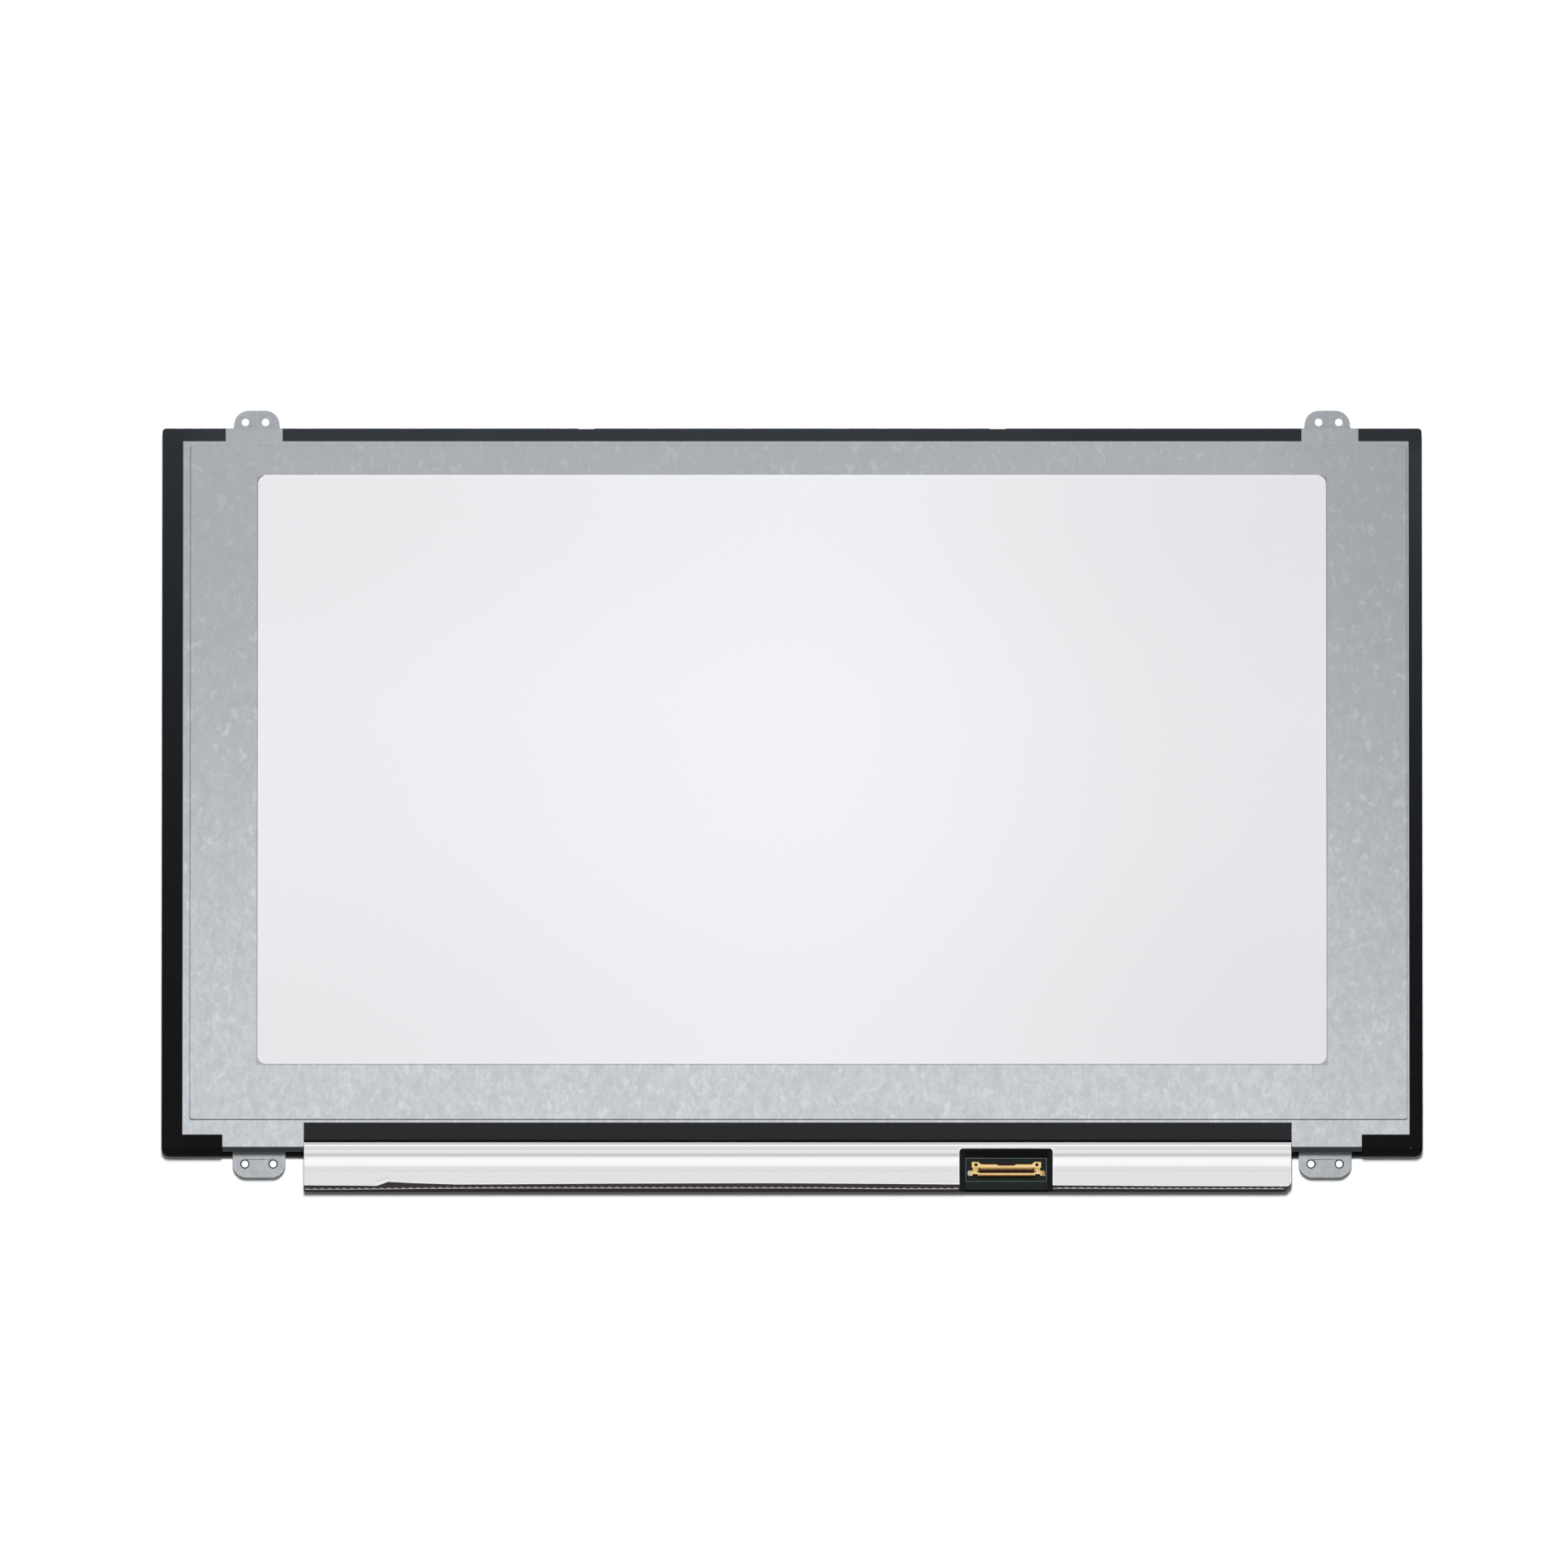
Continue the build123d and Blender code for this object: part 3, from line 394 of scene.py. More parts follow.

# %% Painted shade on the steel
# Painted shade darkens the plate's right side, and near the bottom it moves onto the lower right tab.
for start, end, upper_depth, lower_depth in ((120, 176, 0.13, 0.0), (136, 156, 0.0, 0.085)):
    depth = between(tree, lower, 0.88, 1.0, upper_depth, lower_depth)
    share = product(tree, slope(tree, "X", start, end), depth)
    zinc = tint(tree, share, zinc, (0.04, 0.03, 0.045))
# Painted shade towards the left side, on the lower tabs and bends, which lie lower, and on the upper tabs.
for axis, start, end, depth in (("X", -120, -174, 0.03), ("Z", 2.7, 1.8, 0.19), ("Y", 105.5, 107.5, 0.06)):
    share = product(tree, slope(tree, axis, start, end), depth)
    zinc = tint(tree, share, zinc, STEEL_SHADE)
# Painted shade line along the window's sides and its lower edge.
aside = math_node(tree, "ABSOLUTE", along(tree, "X"))
beside_window = product(tree, between(tree, aside, 152.85, 152.55), slope(tree, "Y", 93.2, 92.4))
beside_window = product(tree, beside_window, slope(tree, "Y", -75.85, -75.6))
below_window = product(tree, slope(tree, "Y", -75.75, -75.5), between(tree, aside, 152.6, 152.3))
below_window = product(tree, below_window, slope(tree, "Y", -60, -70))
window_shade_line = math_node(tree, "MAXIMUM", beside_window, below_window)
zinc = tint(tree, product(tree, window_shade_line, 0.26), zinc, STEEL_SHADE)
for scratch in SCRATCHES:
    zinc = tint(tree, product(tree, spot(tree, *scratch), 0.45), zinc, (0.2, 0.2, 0.21))
print("nodes with the shade:", len(tree.nodes))

# %% Painted rim highlights and fold shade of the steel
# Painted highlight: the cut rims are tinted towards white.
rim = add_node(tree, "ShaderNodeAttribute", attribute_name="rim").outputs["Fac"]
zinc = tint(tree, rim, zinc, (1, 1, 1))
# Painted shade on the folds: steep slopes, cut walls, the holes and the top of each lower bracket's bend
# turn dark.
fold = add_node(tree, "ShaderNodeAttribute", attribute_name="fold").outputs["Fac"]
fold = product(tree, fold, between(tree, along(tree, "Y"), -101.85, -101.1))
bend_start = product(tree, slope(tree, "Y", -98.98, -99.14), slope(tree, "Y", -100.5, -100.2))
fold = math_node(tree, "MAXIMUM", fold, product(tree, bend_start, 0.9))
# The painted shade on the bracket's bend is darkest near its top.
dark_slope = tint(tree, slope(tree, "Y", -100.4, -100.9), (0.07, 0.073, 0.078), (0.14, 0.145, 0.15))
connect(tree, shader["Base Color"], tint(tree, fold, zinc, dark_slope))
connect(tree, shader["Roughness"], between(tree, crystals, 0.3, 0.7, 0.42, 0.54))
connect(tree, shader["Normal"], relief(tree, clouds(tree, 0.5, 3.0), 0.004))
print("finish:", galvanised_steel.name)

# %% [markdown]
# ## Black plastics
# The frame is moulded in black plastic with a fine satin grain. It mirrors very little, and
# painted light makes it paler and cooler towards its top rail. The film that wraps the board is
# smoother, so it is given a tighter gloss and long faint streaks along its length. Painted shade
# darkens it along the foil's upper edge, and painted light makes it paler below the foil.

# %% Frame plastic
black_frame, tree, shader = new_finish("black_frame", {"Specular IOR Level": 0.09})
# Painted light: the frame is written paler and cooler towards its top.
painted_top_light = math_node(tree, "POWER", between(tree, along(tree, "Y"), -100, 106), 2.2)
plastic = tint(tree, painted_top_light, (0.0025, 0.0025, 0.003), (0.029, 0.035, 0.041))
plastic = tint(tree, between(tree, clouds(tree, 25), 0.3, 0.7, 0.0, 0.15), plastic, (0.010, 0.010, 0.012))
left_side = slope(tree, "X", -165, -176)
top_right = product(tree, slope(tree, "X", 10, 130), slope(tree, "Y", 99, 103))
for darker in (left_side, top_right):
    plastic = tint(tree, product(tree, darker, 0.3), plastic, (0.004, 0.004, 0.004))
plastic = tint(tree, spot(tree, 176.4, -99.5, 0.6, 0.4, 30), plastic, (0.11, 0.11, 0.11))
connect(tree, shader["Base Color"], plastic)
connect(tree, shader["Roughness"], between(tree, clouds(tree, 1.5), 0.3, 0.7, 0.42, 0.55))
connect(tree, shader["Normal"], relief(tree, clouds(tree, 0.25, 2.0), 0.01))

print("finish:", black_frame.name)

# %% Film
CONNECTOR_X = 61.1


def from_connector(tree):
    """Distance from the connector's middle along X, in millimetres."""
    return math_node(tree, "ABSOLUTE", math_node(tree, "SUBTRACT", along(tree, "X"), CONNECTOR_X))


black_film, tree, shader = new_finish("black_film", {})
gloss = between(tree, along(tree, "Y"), -97.05, -97.25, 0.26, 0.05)
connect(tree, shader["Specular IOR Level"], gloss)
streaks = clouds(tree, 1.0, 4.0, stretch=(30, 1, 1))
streaks_and_shade = tint(tree, streaks, (0.006, 0.006, 0.007), (0.014, 0.014, 0.016))
# Painted shade line along the foil's upper edge, where the gloss is lower too.
above_foil = product(tree, slope(tree, "Y", -97.0, -97.25), slope(tree, "Y", -98.4, -98.2))
streaks_and_shade = tint(tree, above_foil, streaks_and_shade, (0.002, 0.002, 0.003))
# Painted light: the film is written paler below the foil, away from the notch.
beside_notch = between(tree, from_connector(tree), 13.0, 13.4)
below_foil = product(tree, slope(tree, "Y", -108.7, -109.1), beside_notch)
connect(tree, shader["Base Color"], tint(tree, below_foil, streaks_and_shade, (0.042, 0.034, 0.034)))
connect(tree, shader["Roughness"], between(tree, streaks, 0.3, 0.7, 0.34, 0.44))
connect(tree, shader["Normal"], relief(tree, clouds(tree, 6, 2.0), 0.006))
print("finish:", black_film.name)

# %% Tape, chip and connector plastics
colours = ((0.012, 0.012, 0.012), (0.03, 0.03, 0.03))
weave = {"size": 0.8, "detail": 3.0}
black_tape = mottled("black_tape", {"Specular IOR Level": 0.2}, weave, colours, WIDE, (0.7, 0.85))

chip_body, tree, shader = new_finish("chip_body", {"Specular IOR Level": 0.3})
grain = clouds(tree, 0.15, 2.0)
connect(tree, shader["Base Color"], tint(tree, grain, (0.014, 0.014, 0.015), (0.03, 0.03, 0.032)))
connect(tree, shader["Roughness"], between(tree, grain, 0.2, 0.8, 0.55, 0.7))
connect(tree, shader["Normal"], relief(tree, grain, 0.004))

steady = {"Specular IOR Level": 0.35}
grain = {"size": 0.2, "detail": 2.0}
colours = ((0.020, 0.007, 0.005), (0.035, 0.013, 0.009))
connector_plastic = mottled("connector_plastic", steady, grain, colours, WIDE, (0.5, 0.65))
print("finishes:", black_tape.name, chip_body.name, connector_plastic.name)

# %% [markdown]
# ## White reflector
# The sheet behind the window throws the lamps' light back through the guide. It is a satin white
# film, nearly even. Painted shade makes it brightest left of the middle, and cooler and darker
# towards the right, the lower right corner, the top and the bottom. A painted glow keeps its strip
# below the window's upper edge bright, where the plate's edge would shade it.

# %% Reflector
white_reflector, tree, shader = new_finish("white_reflector", {"Specular IOR Level": 0.25})
# Painted shade: the sheet is written darker towards its sides, its top and its bottom.
REFLECTOR_PAINTED_SHADE = (  # axis, start and end in mm, and how much darker the end is
    ("X", 0, -150, 0.30),
    ("X", 0, 150, 0.62),
    ("Y", 20, 90, 0.22),
    ("Y", 0, -80, 0.18),
)
shade = 0.0
for axis, start, end, darker in REFLECTOR_PAINTED_SHADE:
    shade = math_node(tree, "ADD", product(tree, slope(tree, axis, start, end), darker), shade)
white = tint(tree, shade, (0.815, 0.825, 0.84), (0.695, 0.67, 0.695))
white = tint(tree, between(tree, clouds(tree, 60, 3.0), 0.3, 0.7, 0.0, 0.10), white, (0.80, 0.80, 0.82))
connect(tree, shader["Base Color"], white)
connect(tree, shader["Emission Color"], white)
# Painted light: a glow below the window's upper edge.
connect(tree, shader["Emission Strength"], product(tree, slope(tree, "Y", 93.12, 93.4), 0.42))
connect(tree, shader["Roughness"], between(tree, clouds(tree, 3), 0.3, 0.7, 0.45, 0.6))
connect(tree, shader["Normal"], relief(tree, clouds(tree, 0.4, 2.0), 0.002))
print("finish:", white_reflector.name)

# %% [markdown]
# The sheets in front of it hardly show. Diffusers are hazy white, prism films have fine ribs, and
# the lamps are pale yellow from their phosphor.

# %% Diffusers, prism films and lamps
colours = ((0.84, 0.84, 0.84), (0.90, 0.90, 0.90))
haze = {"size": 0.6, "detail": 2.0}
diffuser_white = mottled("diffuser_white", {"Specular IOR Level": 0.3}, haze, colours, WIDE, (0.5, 0.6))

prism_film, tree, shader = new_finish("prism_film", {"Specular IOR Level": 0.5})
inputs = {"Vector": millimetres(tree), "Scale": 1.5}
ribs = add_node(tree, "ShaderNodeTexWave", inputs, bands_direction="Y").outputs["Fac"]
connect(tree, shader["Base Color"], tint(tree, ribs, (0.78, 0.79, 0.80), (0.88, 0.89, 0.90)))
connect(tree, shader["Roughness"], between(tree, ribs, 0.0, 1.0, 0.25, 0.35))

colours = ((0.86, 0.82, 0.55), (0.90, 0.88, 0.78))
speckle = {"size": 0.3, "detail": 2.0}
lamp_body = mottled("lamp_body", {"Specular IOR Level": 0.4}, speckle, colours, WIDE, (0.4, 0.5))
print("finishes:", diffuser_white.name, prism_film.name, lamp_body.name)

# %% [markdown]
# ## Glass, acrylic and polariser
# The screen itself lies face down. Its front is a dark polariser film with a fine anti-glare
# grain over the glass. The glass and the acrylic light guide show only at their edges, so they
# are clear with a faint green or blue cast that follows a slow cloud.

# %% Clear and dark sheets
def clear_finish(name, pale, deep, roughness):
    """A clear sheet whose tint changes slowly."""
    steady = {"Transmission Weight": 0.9, "Roughness": roughness, "IOR": 1.5}
    material, tree, shader = new_finish(name, steady)
    connect(tree, shader["Base Color"], tint(tree, clouds(tree, 12, 2.0), pale, deep))
    return material


cell_glass = clear_finish("cell_glass", (0.80, 0.90, 0.88), (0.70, 0.85, 0.82), 0.05)
acrylic = clear_finish("acrylic", (0.92, 0.95, 0.96), (0.86, 0.92, 0.95), 0.1)

polariser, tree, shader = new_finish("polariser", {"Specular IOR Level": 0.5})
glare_grain = clouds(tree, 0.08, 2.0)
dark = tint(tree, clouds(tree, 90, 2.0), (0.0075, 0.0075, 0.009), (0.013, 0.0125, 0.016))
connect(tree, shader["Base Color"], dark)
connect(tree, shader["Roughness"], between(tree, glare_grain, 0.2, 0.8, 0.22, 0.32))
connect(tree, shader["Normal"], relief(tree, glare_grain, 0.001))
print("finishes:", cell_glass.name, acrylic.name, polariser.name)

# %% [markdown]
# ## Foil, tape, gold and solder
# The shield foil is rolled metal with a mirror-like face, so its look comes from what it mirrors.
# Faint rolling lines run along its length. The grey tape is dull aluminium. The connector's shell
# is gold plated brass, a little uneven where it was bent. The contacts lie deep in its slot, where
# little light comes, so their gold is written nearly as dark as it looks. The foil's dip and bulge
# and the shell's upper and lower edges are too fine for the studio alone, so short lists of tones
# along Y paint their light and shade there. Painted shade darkens the shell round its small holes.

# %% Foil
# Painted reflection: tones of the foil along Y, in its dip and where it bulges over the board.
FOIL_PAINTED_LIGHT = (  # place on Y, mm, and tone of the foil in its dip and where it bulges over the board
    (-106.7, 1.0),
    (-106.2, 0.965),
    (-105.8, 0.94),
    (-105.45, 0.975),
    (-105.16, 1.03),
    (-105.04, 0.95),
    (-104.7, 1.0),
    (-104.3, 1.03),
    (-103.6, 1.0),
    (-102.6, 1.0),
    (-102.3, 0.93),
    (-102.05, 0.85),
    (-101.8, 0.86),
    (-101.4, 0.91),
    (-100.9, 0.935),
    (-100.4, 1.0),
)

bright_foil, tree, shader = new_finish("bright_foil", {"Metallic": 1.0})
rolling = clouds(tree, 0.5, 4.0, stretch=(120, 1, 1))
foil = tint(tree, rolling, (0.93, 0.93, 0.935), (0.97, 0.97, 0.975))
painted_bend_light = tone_ramp(tree, along(tree, "Y"), FOIL_PAINTED_LIGHT)
connect(tree, shader["Base Color"], multiply(tree, foil, painted_bend_light))
connect(tree, shader["Roughness"], between(tree, rolling, 0.3, 0.7, 0.09, 0.13))
# Painted highlight: the foil turns from mirror to dull white along its cut edges.
cut_edge = add_node(tree, "ShaderNodeAttribute", attribute_name="cut_edge").outputs["Fac"]
connect(tree, shader["Metallic"], between(tree, cut_edge, 0.0, 1.0, 1.0, 0.15))
print("finish:", bright_foil.name, "tones:", len(FOIL_PAINTED_LIGHT))

# %% Grey tape
dull = {"size": 0.8, "detail": 4.0, "stretch": (3, 1, 1)}
colours = ((0.39, 0.39, 0.41), (0.54, 0.54, 0.56))
grey_tape = mottled("grey_tape", {"Metallic": 0.7}, dull, colours, NARROW, (0.35, 0.5))
print("finish:", grey_tape.name)

# %% Gold
GOLD_LIGHT = (  # place on Y, mm, and how far the upper edges are lit
    (-107.3, 0.0),
    (-107.08, 0.2),
    (-106.95, 1.0),
    (-106.5, 1.0),
    (-105.9, 0.5),
    (-105.5, 0.0),
    (-105.05, 0.2),
    (-104.85, 1.0),
    (-103.4, 0.9),
)
GOLD_SHADE = (  # place on Y, mm, and how dark the lower edges are
    (-107.3, 1.0),
    (-107.1, 0.7),
    (-106.95, 0.0),
    (-106.4, 0.0),
    (-105.9, 0.45),
    (-105.6, 0.75),
    (-105.0, 0.35),
    (-104.8, 0.0),
    (-103.4, 0.0),
)
SHELL_HOLES = ((52.42, -104.2, 1.3), (69.78, -104.2, 1.3), (53.0, -106.15, 0.6), (69.2, -106.15, 0.6))
gold_plate, tree, shader = new_finish("gold_plate", {})
plating = clouds(tree, 0.6, 3.0)
plating = tint(tree, plating, (0.93, 0.60, 0.22), (1.0, 0.74, 0.36))
# Painted shade on the lower edges, full between the ears and weaker outside them.
between_ears = between(tree, from_connector(tree), 8.4, 7.9, 0.2, 1.0)
dark_edges = product(tree, tone_ramp(tree, along(tree, "Y"), GOLD_SHADE), between_ears)
plating = tint(tree, dark_edges, plating, (0.20, 0.09, 0.03))
right_end = product(tree, slope(tree, "X", 70.9, 71.4), 0.6)
plating = tint(tree, right_end, plating, (0.10, 0.05, 0.02))
# Painted shade round the shell's small holes.
for x, y, width in SHELL_HOLES:
    plating = tint(tree, spot(tree, x, y, width, width), plating, (0.012, 0.007, 0.004))
connect(tree, shader["Base Color"], plating)
# Painted highlight: the upper edges lose some metal and read as lit.
gold_light = tone_ramp(tree, along(tree, "Y"), GOLD_LIGHT)
lit_edges = add_node(tree, "ShaderNodeRGBToBW", {"Color": gold_light}).outputs["Val"]
connect(tree, shader["Metallic"], between(tree, lit_edges, 0.0, 1.0, 1.0, 0.35))
connect(tree, shader["Roughness"], between(tree, clouds(tree, 0.6, 3.0), 0.3, 0.7, 0.16, 0.28))
connect(tree, shader["Normal"], relief(tree, clouds(tree, 0.9, 2.0), 0.008))
print("finish:", gold_plate.name)

# %% Contacts and solder
steady = {"Metallic": 0.3, "Specular IOR Level": 0.1}
worn = {"size": 0.4, "detail": 2.0}
colours = ((0.022, 0.007, 0.004), (0.045, 0.016, 0.008))
shaded_gold = mottled("shaded_gold", steady, worn, colours, NARROW, (0.45, 0.6))

frost = {"size": 0.2, "detail": 3.0}
colours = ((0.60, 0.60, 0.61), (0.82, 0.82, 0.82))
solder = mottled("solder", {"Metallic": 0.9}, frost, colours, NARROW, (0.22, 0.38))
colours = ((0.015, 0.015, 0.016), (0.06, 0.06, 0.062))
dull_solder = mottled("dull_solder", {"Metallic": 0.6}, frost, colours, NARROW, (0.4, 0.55))
print("finishes:", shaded_gold.name, solder.name, dull_solder.name)

# %% [markdown]
# ## Board and small parts
# The circuit board wears a dark green lacquer over copper, so faint rows of copper show through
# as slightly paler bands. The flexible circuits are amber, the coils dark ferrite and the
# capacitors tan ceramic.

# %% Board finishes
solder_mask, tree, shader = new_finish("solder_mask", {"Specular IOR Level": 0.14})
inputs = {"Vector": millimetres(tree), "Scale": 0.35, "Mortar Size": 0.03}
copper = product(tree, add_node(tree, "ShaderNodeTexBrick", inputs).outputs["Fac"], 0.5)
lacquer = tint(tree, clouds(tree, 4.0, 3.0), (0.006, 0.009, 0.0078), (0.012, 0.017, 0.014))
lacquer = tint(tree, copper, lacquer, (0.014, 0.020, 0.016))
# Painted shadow on the board round the shell's holes.
for x, y, width in SHELL_HOLES:
    lacquer = tint(tree, spot(tree, x, y, 2 * width, 2 * width), lacquer, (0.001, 0.001, 0.001))
connect(tree, shader["Base Color"], lacquer)
connect(tree, shader["Roughness"], between(tree, clouds(tree, 1.0), 0.3, 0.7, 0.4, 0.5))

flex_circuit, tree, shader = new_finish("flex_circuit", {"Specular IOR Level": 0.5})
inputs = {"Vector": millimetres(tree), "Scale": 0.6}
traces = add_node(tree, "ShaderNodeTexWave", inputs, bands_direction="X").outputs["Fac"]
connect(tree, shader["Base Color"], tint(tree, traces, (0.30, 0.15, 0.035), (0.46, 0.26, 0.08)))
connect(tree, shader["Roughness"], between(tree, clouds(tree, 2.0), 0.3, 0.7, 0.3, 0.4))

pores = {"size": 0.2, "detail": 3.0}
colours = ((0.07, 0.07, 0.072), (0.13, 0.13, 0.132))
ferrite = mottled("ferrite", {"Specular IOR Level": 0.3}, pores, colours, WIDE, (0.6, 0.75))

ends = {"size": 0.8, "detail": 2.0}
colours = ((0.42, 0.32, 0.22), (0.62, 0.52, 0.40))
capacitor_body = mottled("capacitor_body", {"Specular IOR Level": 0.4}, ends, colours, WIDE, (0.35, 0.5))

board_print, tree, shader = new_finish("board_print", {"Specular IOR Level": 0.2, "Roughness": 0.7})
worn = clouds(tree, 0.8, 3.0)
connect(tree, shader["Base Color"], tint(tree, worn, (0.06, 0.075, 0.068), (0.16, 0.19, 0.175)))
print("finishes:", solder_mask.name, flex_circuit.name, ferrite.name, capacitor_body.name)

# %% [markdown]
# ## Dress the CAD pieces
# A CAD piece whose shape is right keeps its mesh, and only its material changes.

# %% Assign finishes
FINISH_OF = {
    "front_polariser": polariser,
    "colour_filter_glass": cell_glass,
    "array_glass": cell_glass,
    "rear_polariser": polariser,
    "rim_tape": black_tape,
    "mould_frame": black_frame,
    "upper_diffuser": diffuser_white,
    "upper_prism_sheet": prism_film,
    "lower_prism_sheet": prism_film,
    "lower_diffuser": diffuser_white,
    "light_guide": acrylic,
    "reflector_sheet": white_reflector,
    "led_flex": flex_circuit,
    "leds": lamp_body,
    "rear_plate": galvanised_steel,
    "circuit_board": solder_mask,
    "driver_films": flex_circuit,
    "driver_chips": chip_body,
    "timing_controller": chip_body,
    "lamp_driver": chip_body,
    "inductors": ferrite,
    "capacitors": capacitor_body,
    "lamp_socket": connector_plastic,
    "connector_housing": connector_plastic,
    "connector_shell": gold_plate,
    "connector_contacts": shaded_gold,
    "cover_film": black_film,
    "shield_foil": bright_foil,
    "edge_tape": grey_tape,
}
for name, material in FINISH_OF.items():
    nodes[name].data.materials.clear()
    nodes[name].data.materials.append(material)
print("dressed:", len(FINISH_OF), "of", len(nodes))

# %% [markdown]
# ## Turning a modifier's result into a plain mesh
# Modifiers are recipes. Once a piece is built, its recipe is carried out once and the
# result becomes the piece's own mesh, so that nothing depends on the recipe any more.

# %% Helpers for finished pieces
def new_piece(name, mesh):
    """An object at the origin with the given mesh."""
    piece = bpy.data.objects.new(name, mesh)
    bpy.context.scene.collection.objects.link(piece)
    return piece


def carry_out(piece):
    """Replaces a piece's mesh by what its modifiers make of it, and removes them."""
    evaluated = piece.evaluated_get(bpy.context.evaluated_depsgraph_get())
    mesh = bpy.data.meshes.new_from_object(evaluated)
    mesh.name = piece.name
    piece.modifiers.clear()
    piece.data = mesh
    return mesh


def triangles(piece):
    """How many triangles a piece has."""
    piece.data.calc_loop_triangles()
    return len(piece.data.loop_triangles)


def stand_in(piece, node, slot):
    """Shows a piece in place of a CAD node."""
    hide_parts(node)
    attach(piece, "root")
    print(piece.name, "stands for", node, "triangles:", triangles(piece))


print("piece helpers:", new_piece.__name__, carry_out.__name__, stand_in.__name__)

# %% [markdown]
# ## Rear plate with rolled edges
# A punch rolls the rim of a steel sheet over before it breaks through, and a press leaves soft
# bends, so no edge is sharp and each rim catches a thin line of light, which a painted highlight
# makes brighter. The CAD mesh comes as loose triangles. A copy of it is welded, and a small Bevel
# then rounds every sharp edge. Two numbers are stored on the faces for the finish: "fold" is high
# on steep pressed slopes that face away from the lamp, on cut walls of the window and in the holes,
# and paints shade there; "rim" is high on the outer cut edges, which shine, and paints a highlight.

# %% Rear plate helpers
ROLL = 0.1 * MM
WINDOW = (-152.45, 152.45, -75.35, 93.65)
BRACKET_TOP = -98.0
TAB_LEVEL = 1.7
TAB_HOLES = (151.95, 4.025, -103.9, 1.6)  # the pair's middle and half spacing on X, its Y, and reach
SLOPE_SHADE = {"left": 0.25, "right": 0.1, "bottom": 0.6}


def welded_copy(node, name):
    """A copy of a CAD piece with its loose triangles welded together."""
    shape = bmesh.new()
    shape.from_mesh(nodes[node].data)
    bmesh.ops.remove_doubles(shape, verts=shape.verts, dist=0.001 * MM)
    mesh = bpy.data.meshes.new(name)
    shape.to_mesh(mesh)
    shape.free()
    return new_piece(name, mesh)


def round_edges(piece, width, sharper_than):
    """Rounds the edges that are sharper than an angle, in degrees."""
    bevel = piece.modifiers.new("rolled_edges", "BEVEL")
    bevel.width = width
    bevel.segments = 3
    bevel.limit_method = "ANGLE"
    bevel.angle_limit = math.radians(sharper_than)
    bevel.use_clamp_overlap = False
    return carry_out(piece)


def slope_mark(face):
    """How much painted shade a pressed slope gets: steep ones more, and by the side that they face."""
    x, y, z = face.normal
    if z < 0.7:
        return 0.0
    steep = min(max((math.degrees(math.acos(min(z, 1.0))) - 16) / 10, 0), 1)
    if face.center.y < BRACKET_TOP * MM:
        return steep
    level = math.hypot(x, y) or 1.0
    shade = SLOPE_SHADE["right"] if x > 0 else SLOPE_SHADE["left"]
    return steep * (shade * abs(x) + SLOPE_SHADE["bottom"] * max(-y, 0)) / level


def rim_marks(face):
    """Painted shade (fold) and painted highlight (rim) of a narrow face that the Bevel made."""
    x, y, z = face.center / MM
    left, right, bottom, top = WINDOW
    if abs(max(left - x, x - right, bottom - y, y - top)) < 0.3:
        return (0.0, 0.6) if y > top - 1 else (1.0, 0.0)
    if z > 2.995:
        return 0.0, 0.0
    if z < TAB_LEVEL:
        middle, spacing, hole_y, reach = TAB_HOLES
        inside_hole = abs(y - hole_y) < reach and abs(abs(abs(x) - middle) - spacing) < reach
        faces_down = face.normal.y < -0.3 and not inside_hole
        return (0.0, 0.7) if faces_down else (0.7, 0.0)
    if z < 2.8:
        return 0.5, 0.0
    return (0.2, 0.0) if y > 103.5 else (0.0, 1.0)


print("plate helpers:", welded_copy.__name__, round_edges.__name__, slope_mark.__name__, rim_marks.__name__)

# %% Rear plate
pressed_plate = welded_copy("rear_plate", "pressed_plate")
marks = pressed_plate.data.attributes.new("fold", "FLOAT", "FACE")
for face in pressed_plate.data.polygons:
    marks.data[face.index].value = slope_mark(face)
plate_mesh = round_edges(pressed_plate, ROLL, 18)
fold_shades = plate_mesh.attributes["fold"]
rim_highlights = plate_mesh.attributes.new("rim", "FLOAT", "FACE")
for face in plate_mesh.polygons:
    if fold_shades.data[face.index].value < 0.02 and 0.15 < face.normal.z < 0.93:
        fold_shades.data[face.index].value, rim_highlights.data[face.index].value = rim_marks(face)
plate_mesh.materials.append(galvanised_steel)
stand_in(pressed_plate, "rear_plate", "galvanised_steel")

# %% [markdown]
# ## The wrap: one section, three sheets
# A black film is stuck on the plate's lower flange, dips into the gap beside the board, runs over
# the board and round its edge to the front. A bright foil lies on the film, and a thin tape with a
# pinked edge lies below the foil. All three are cut flat and then laid along the same section, as
# in the factory. Here that is a Geometry Nodes tree: it takes a flat cut sheet, whose Y is the
# length along the section, and moves every point to its place on a section curve. Modelling each
# bent sheet by hand would be possible, but this way one curve keeps all three together.

# %% The wrap's section
SIDE_Y = -111.885  # the wrap's lower side
FRONT_END = -96.40  # end of its front leg
WRAP_SECTION = (  # Y and Z of the film's outer face and the radius of each bend, mm
    (-92.15, 3.10, 0),
    (-98.55, 3.10, 1.5),
    (-99.02, 3.145, 0.6),
    (-100.90, 2.697, 6.9),
    (-104.00, 2.944, 40.0),
    (-105.10, 3.002, 0.8),
    (-111.30, 2.46, 0.5),
    (SIDE_Y, 1.75, 0.3),
    (SIDE_Y, 0.47, 0.3),
    (FRONT_END, 0.47, 0),
)
BEND_STEPS = 12


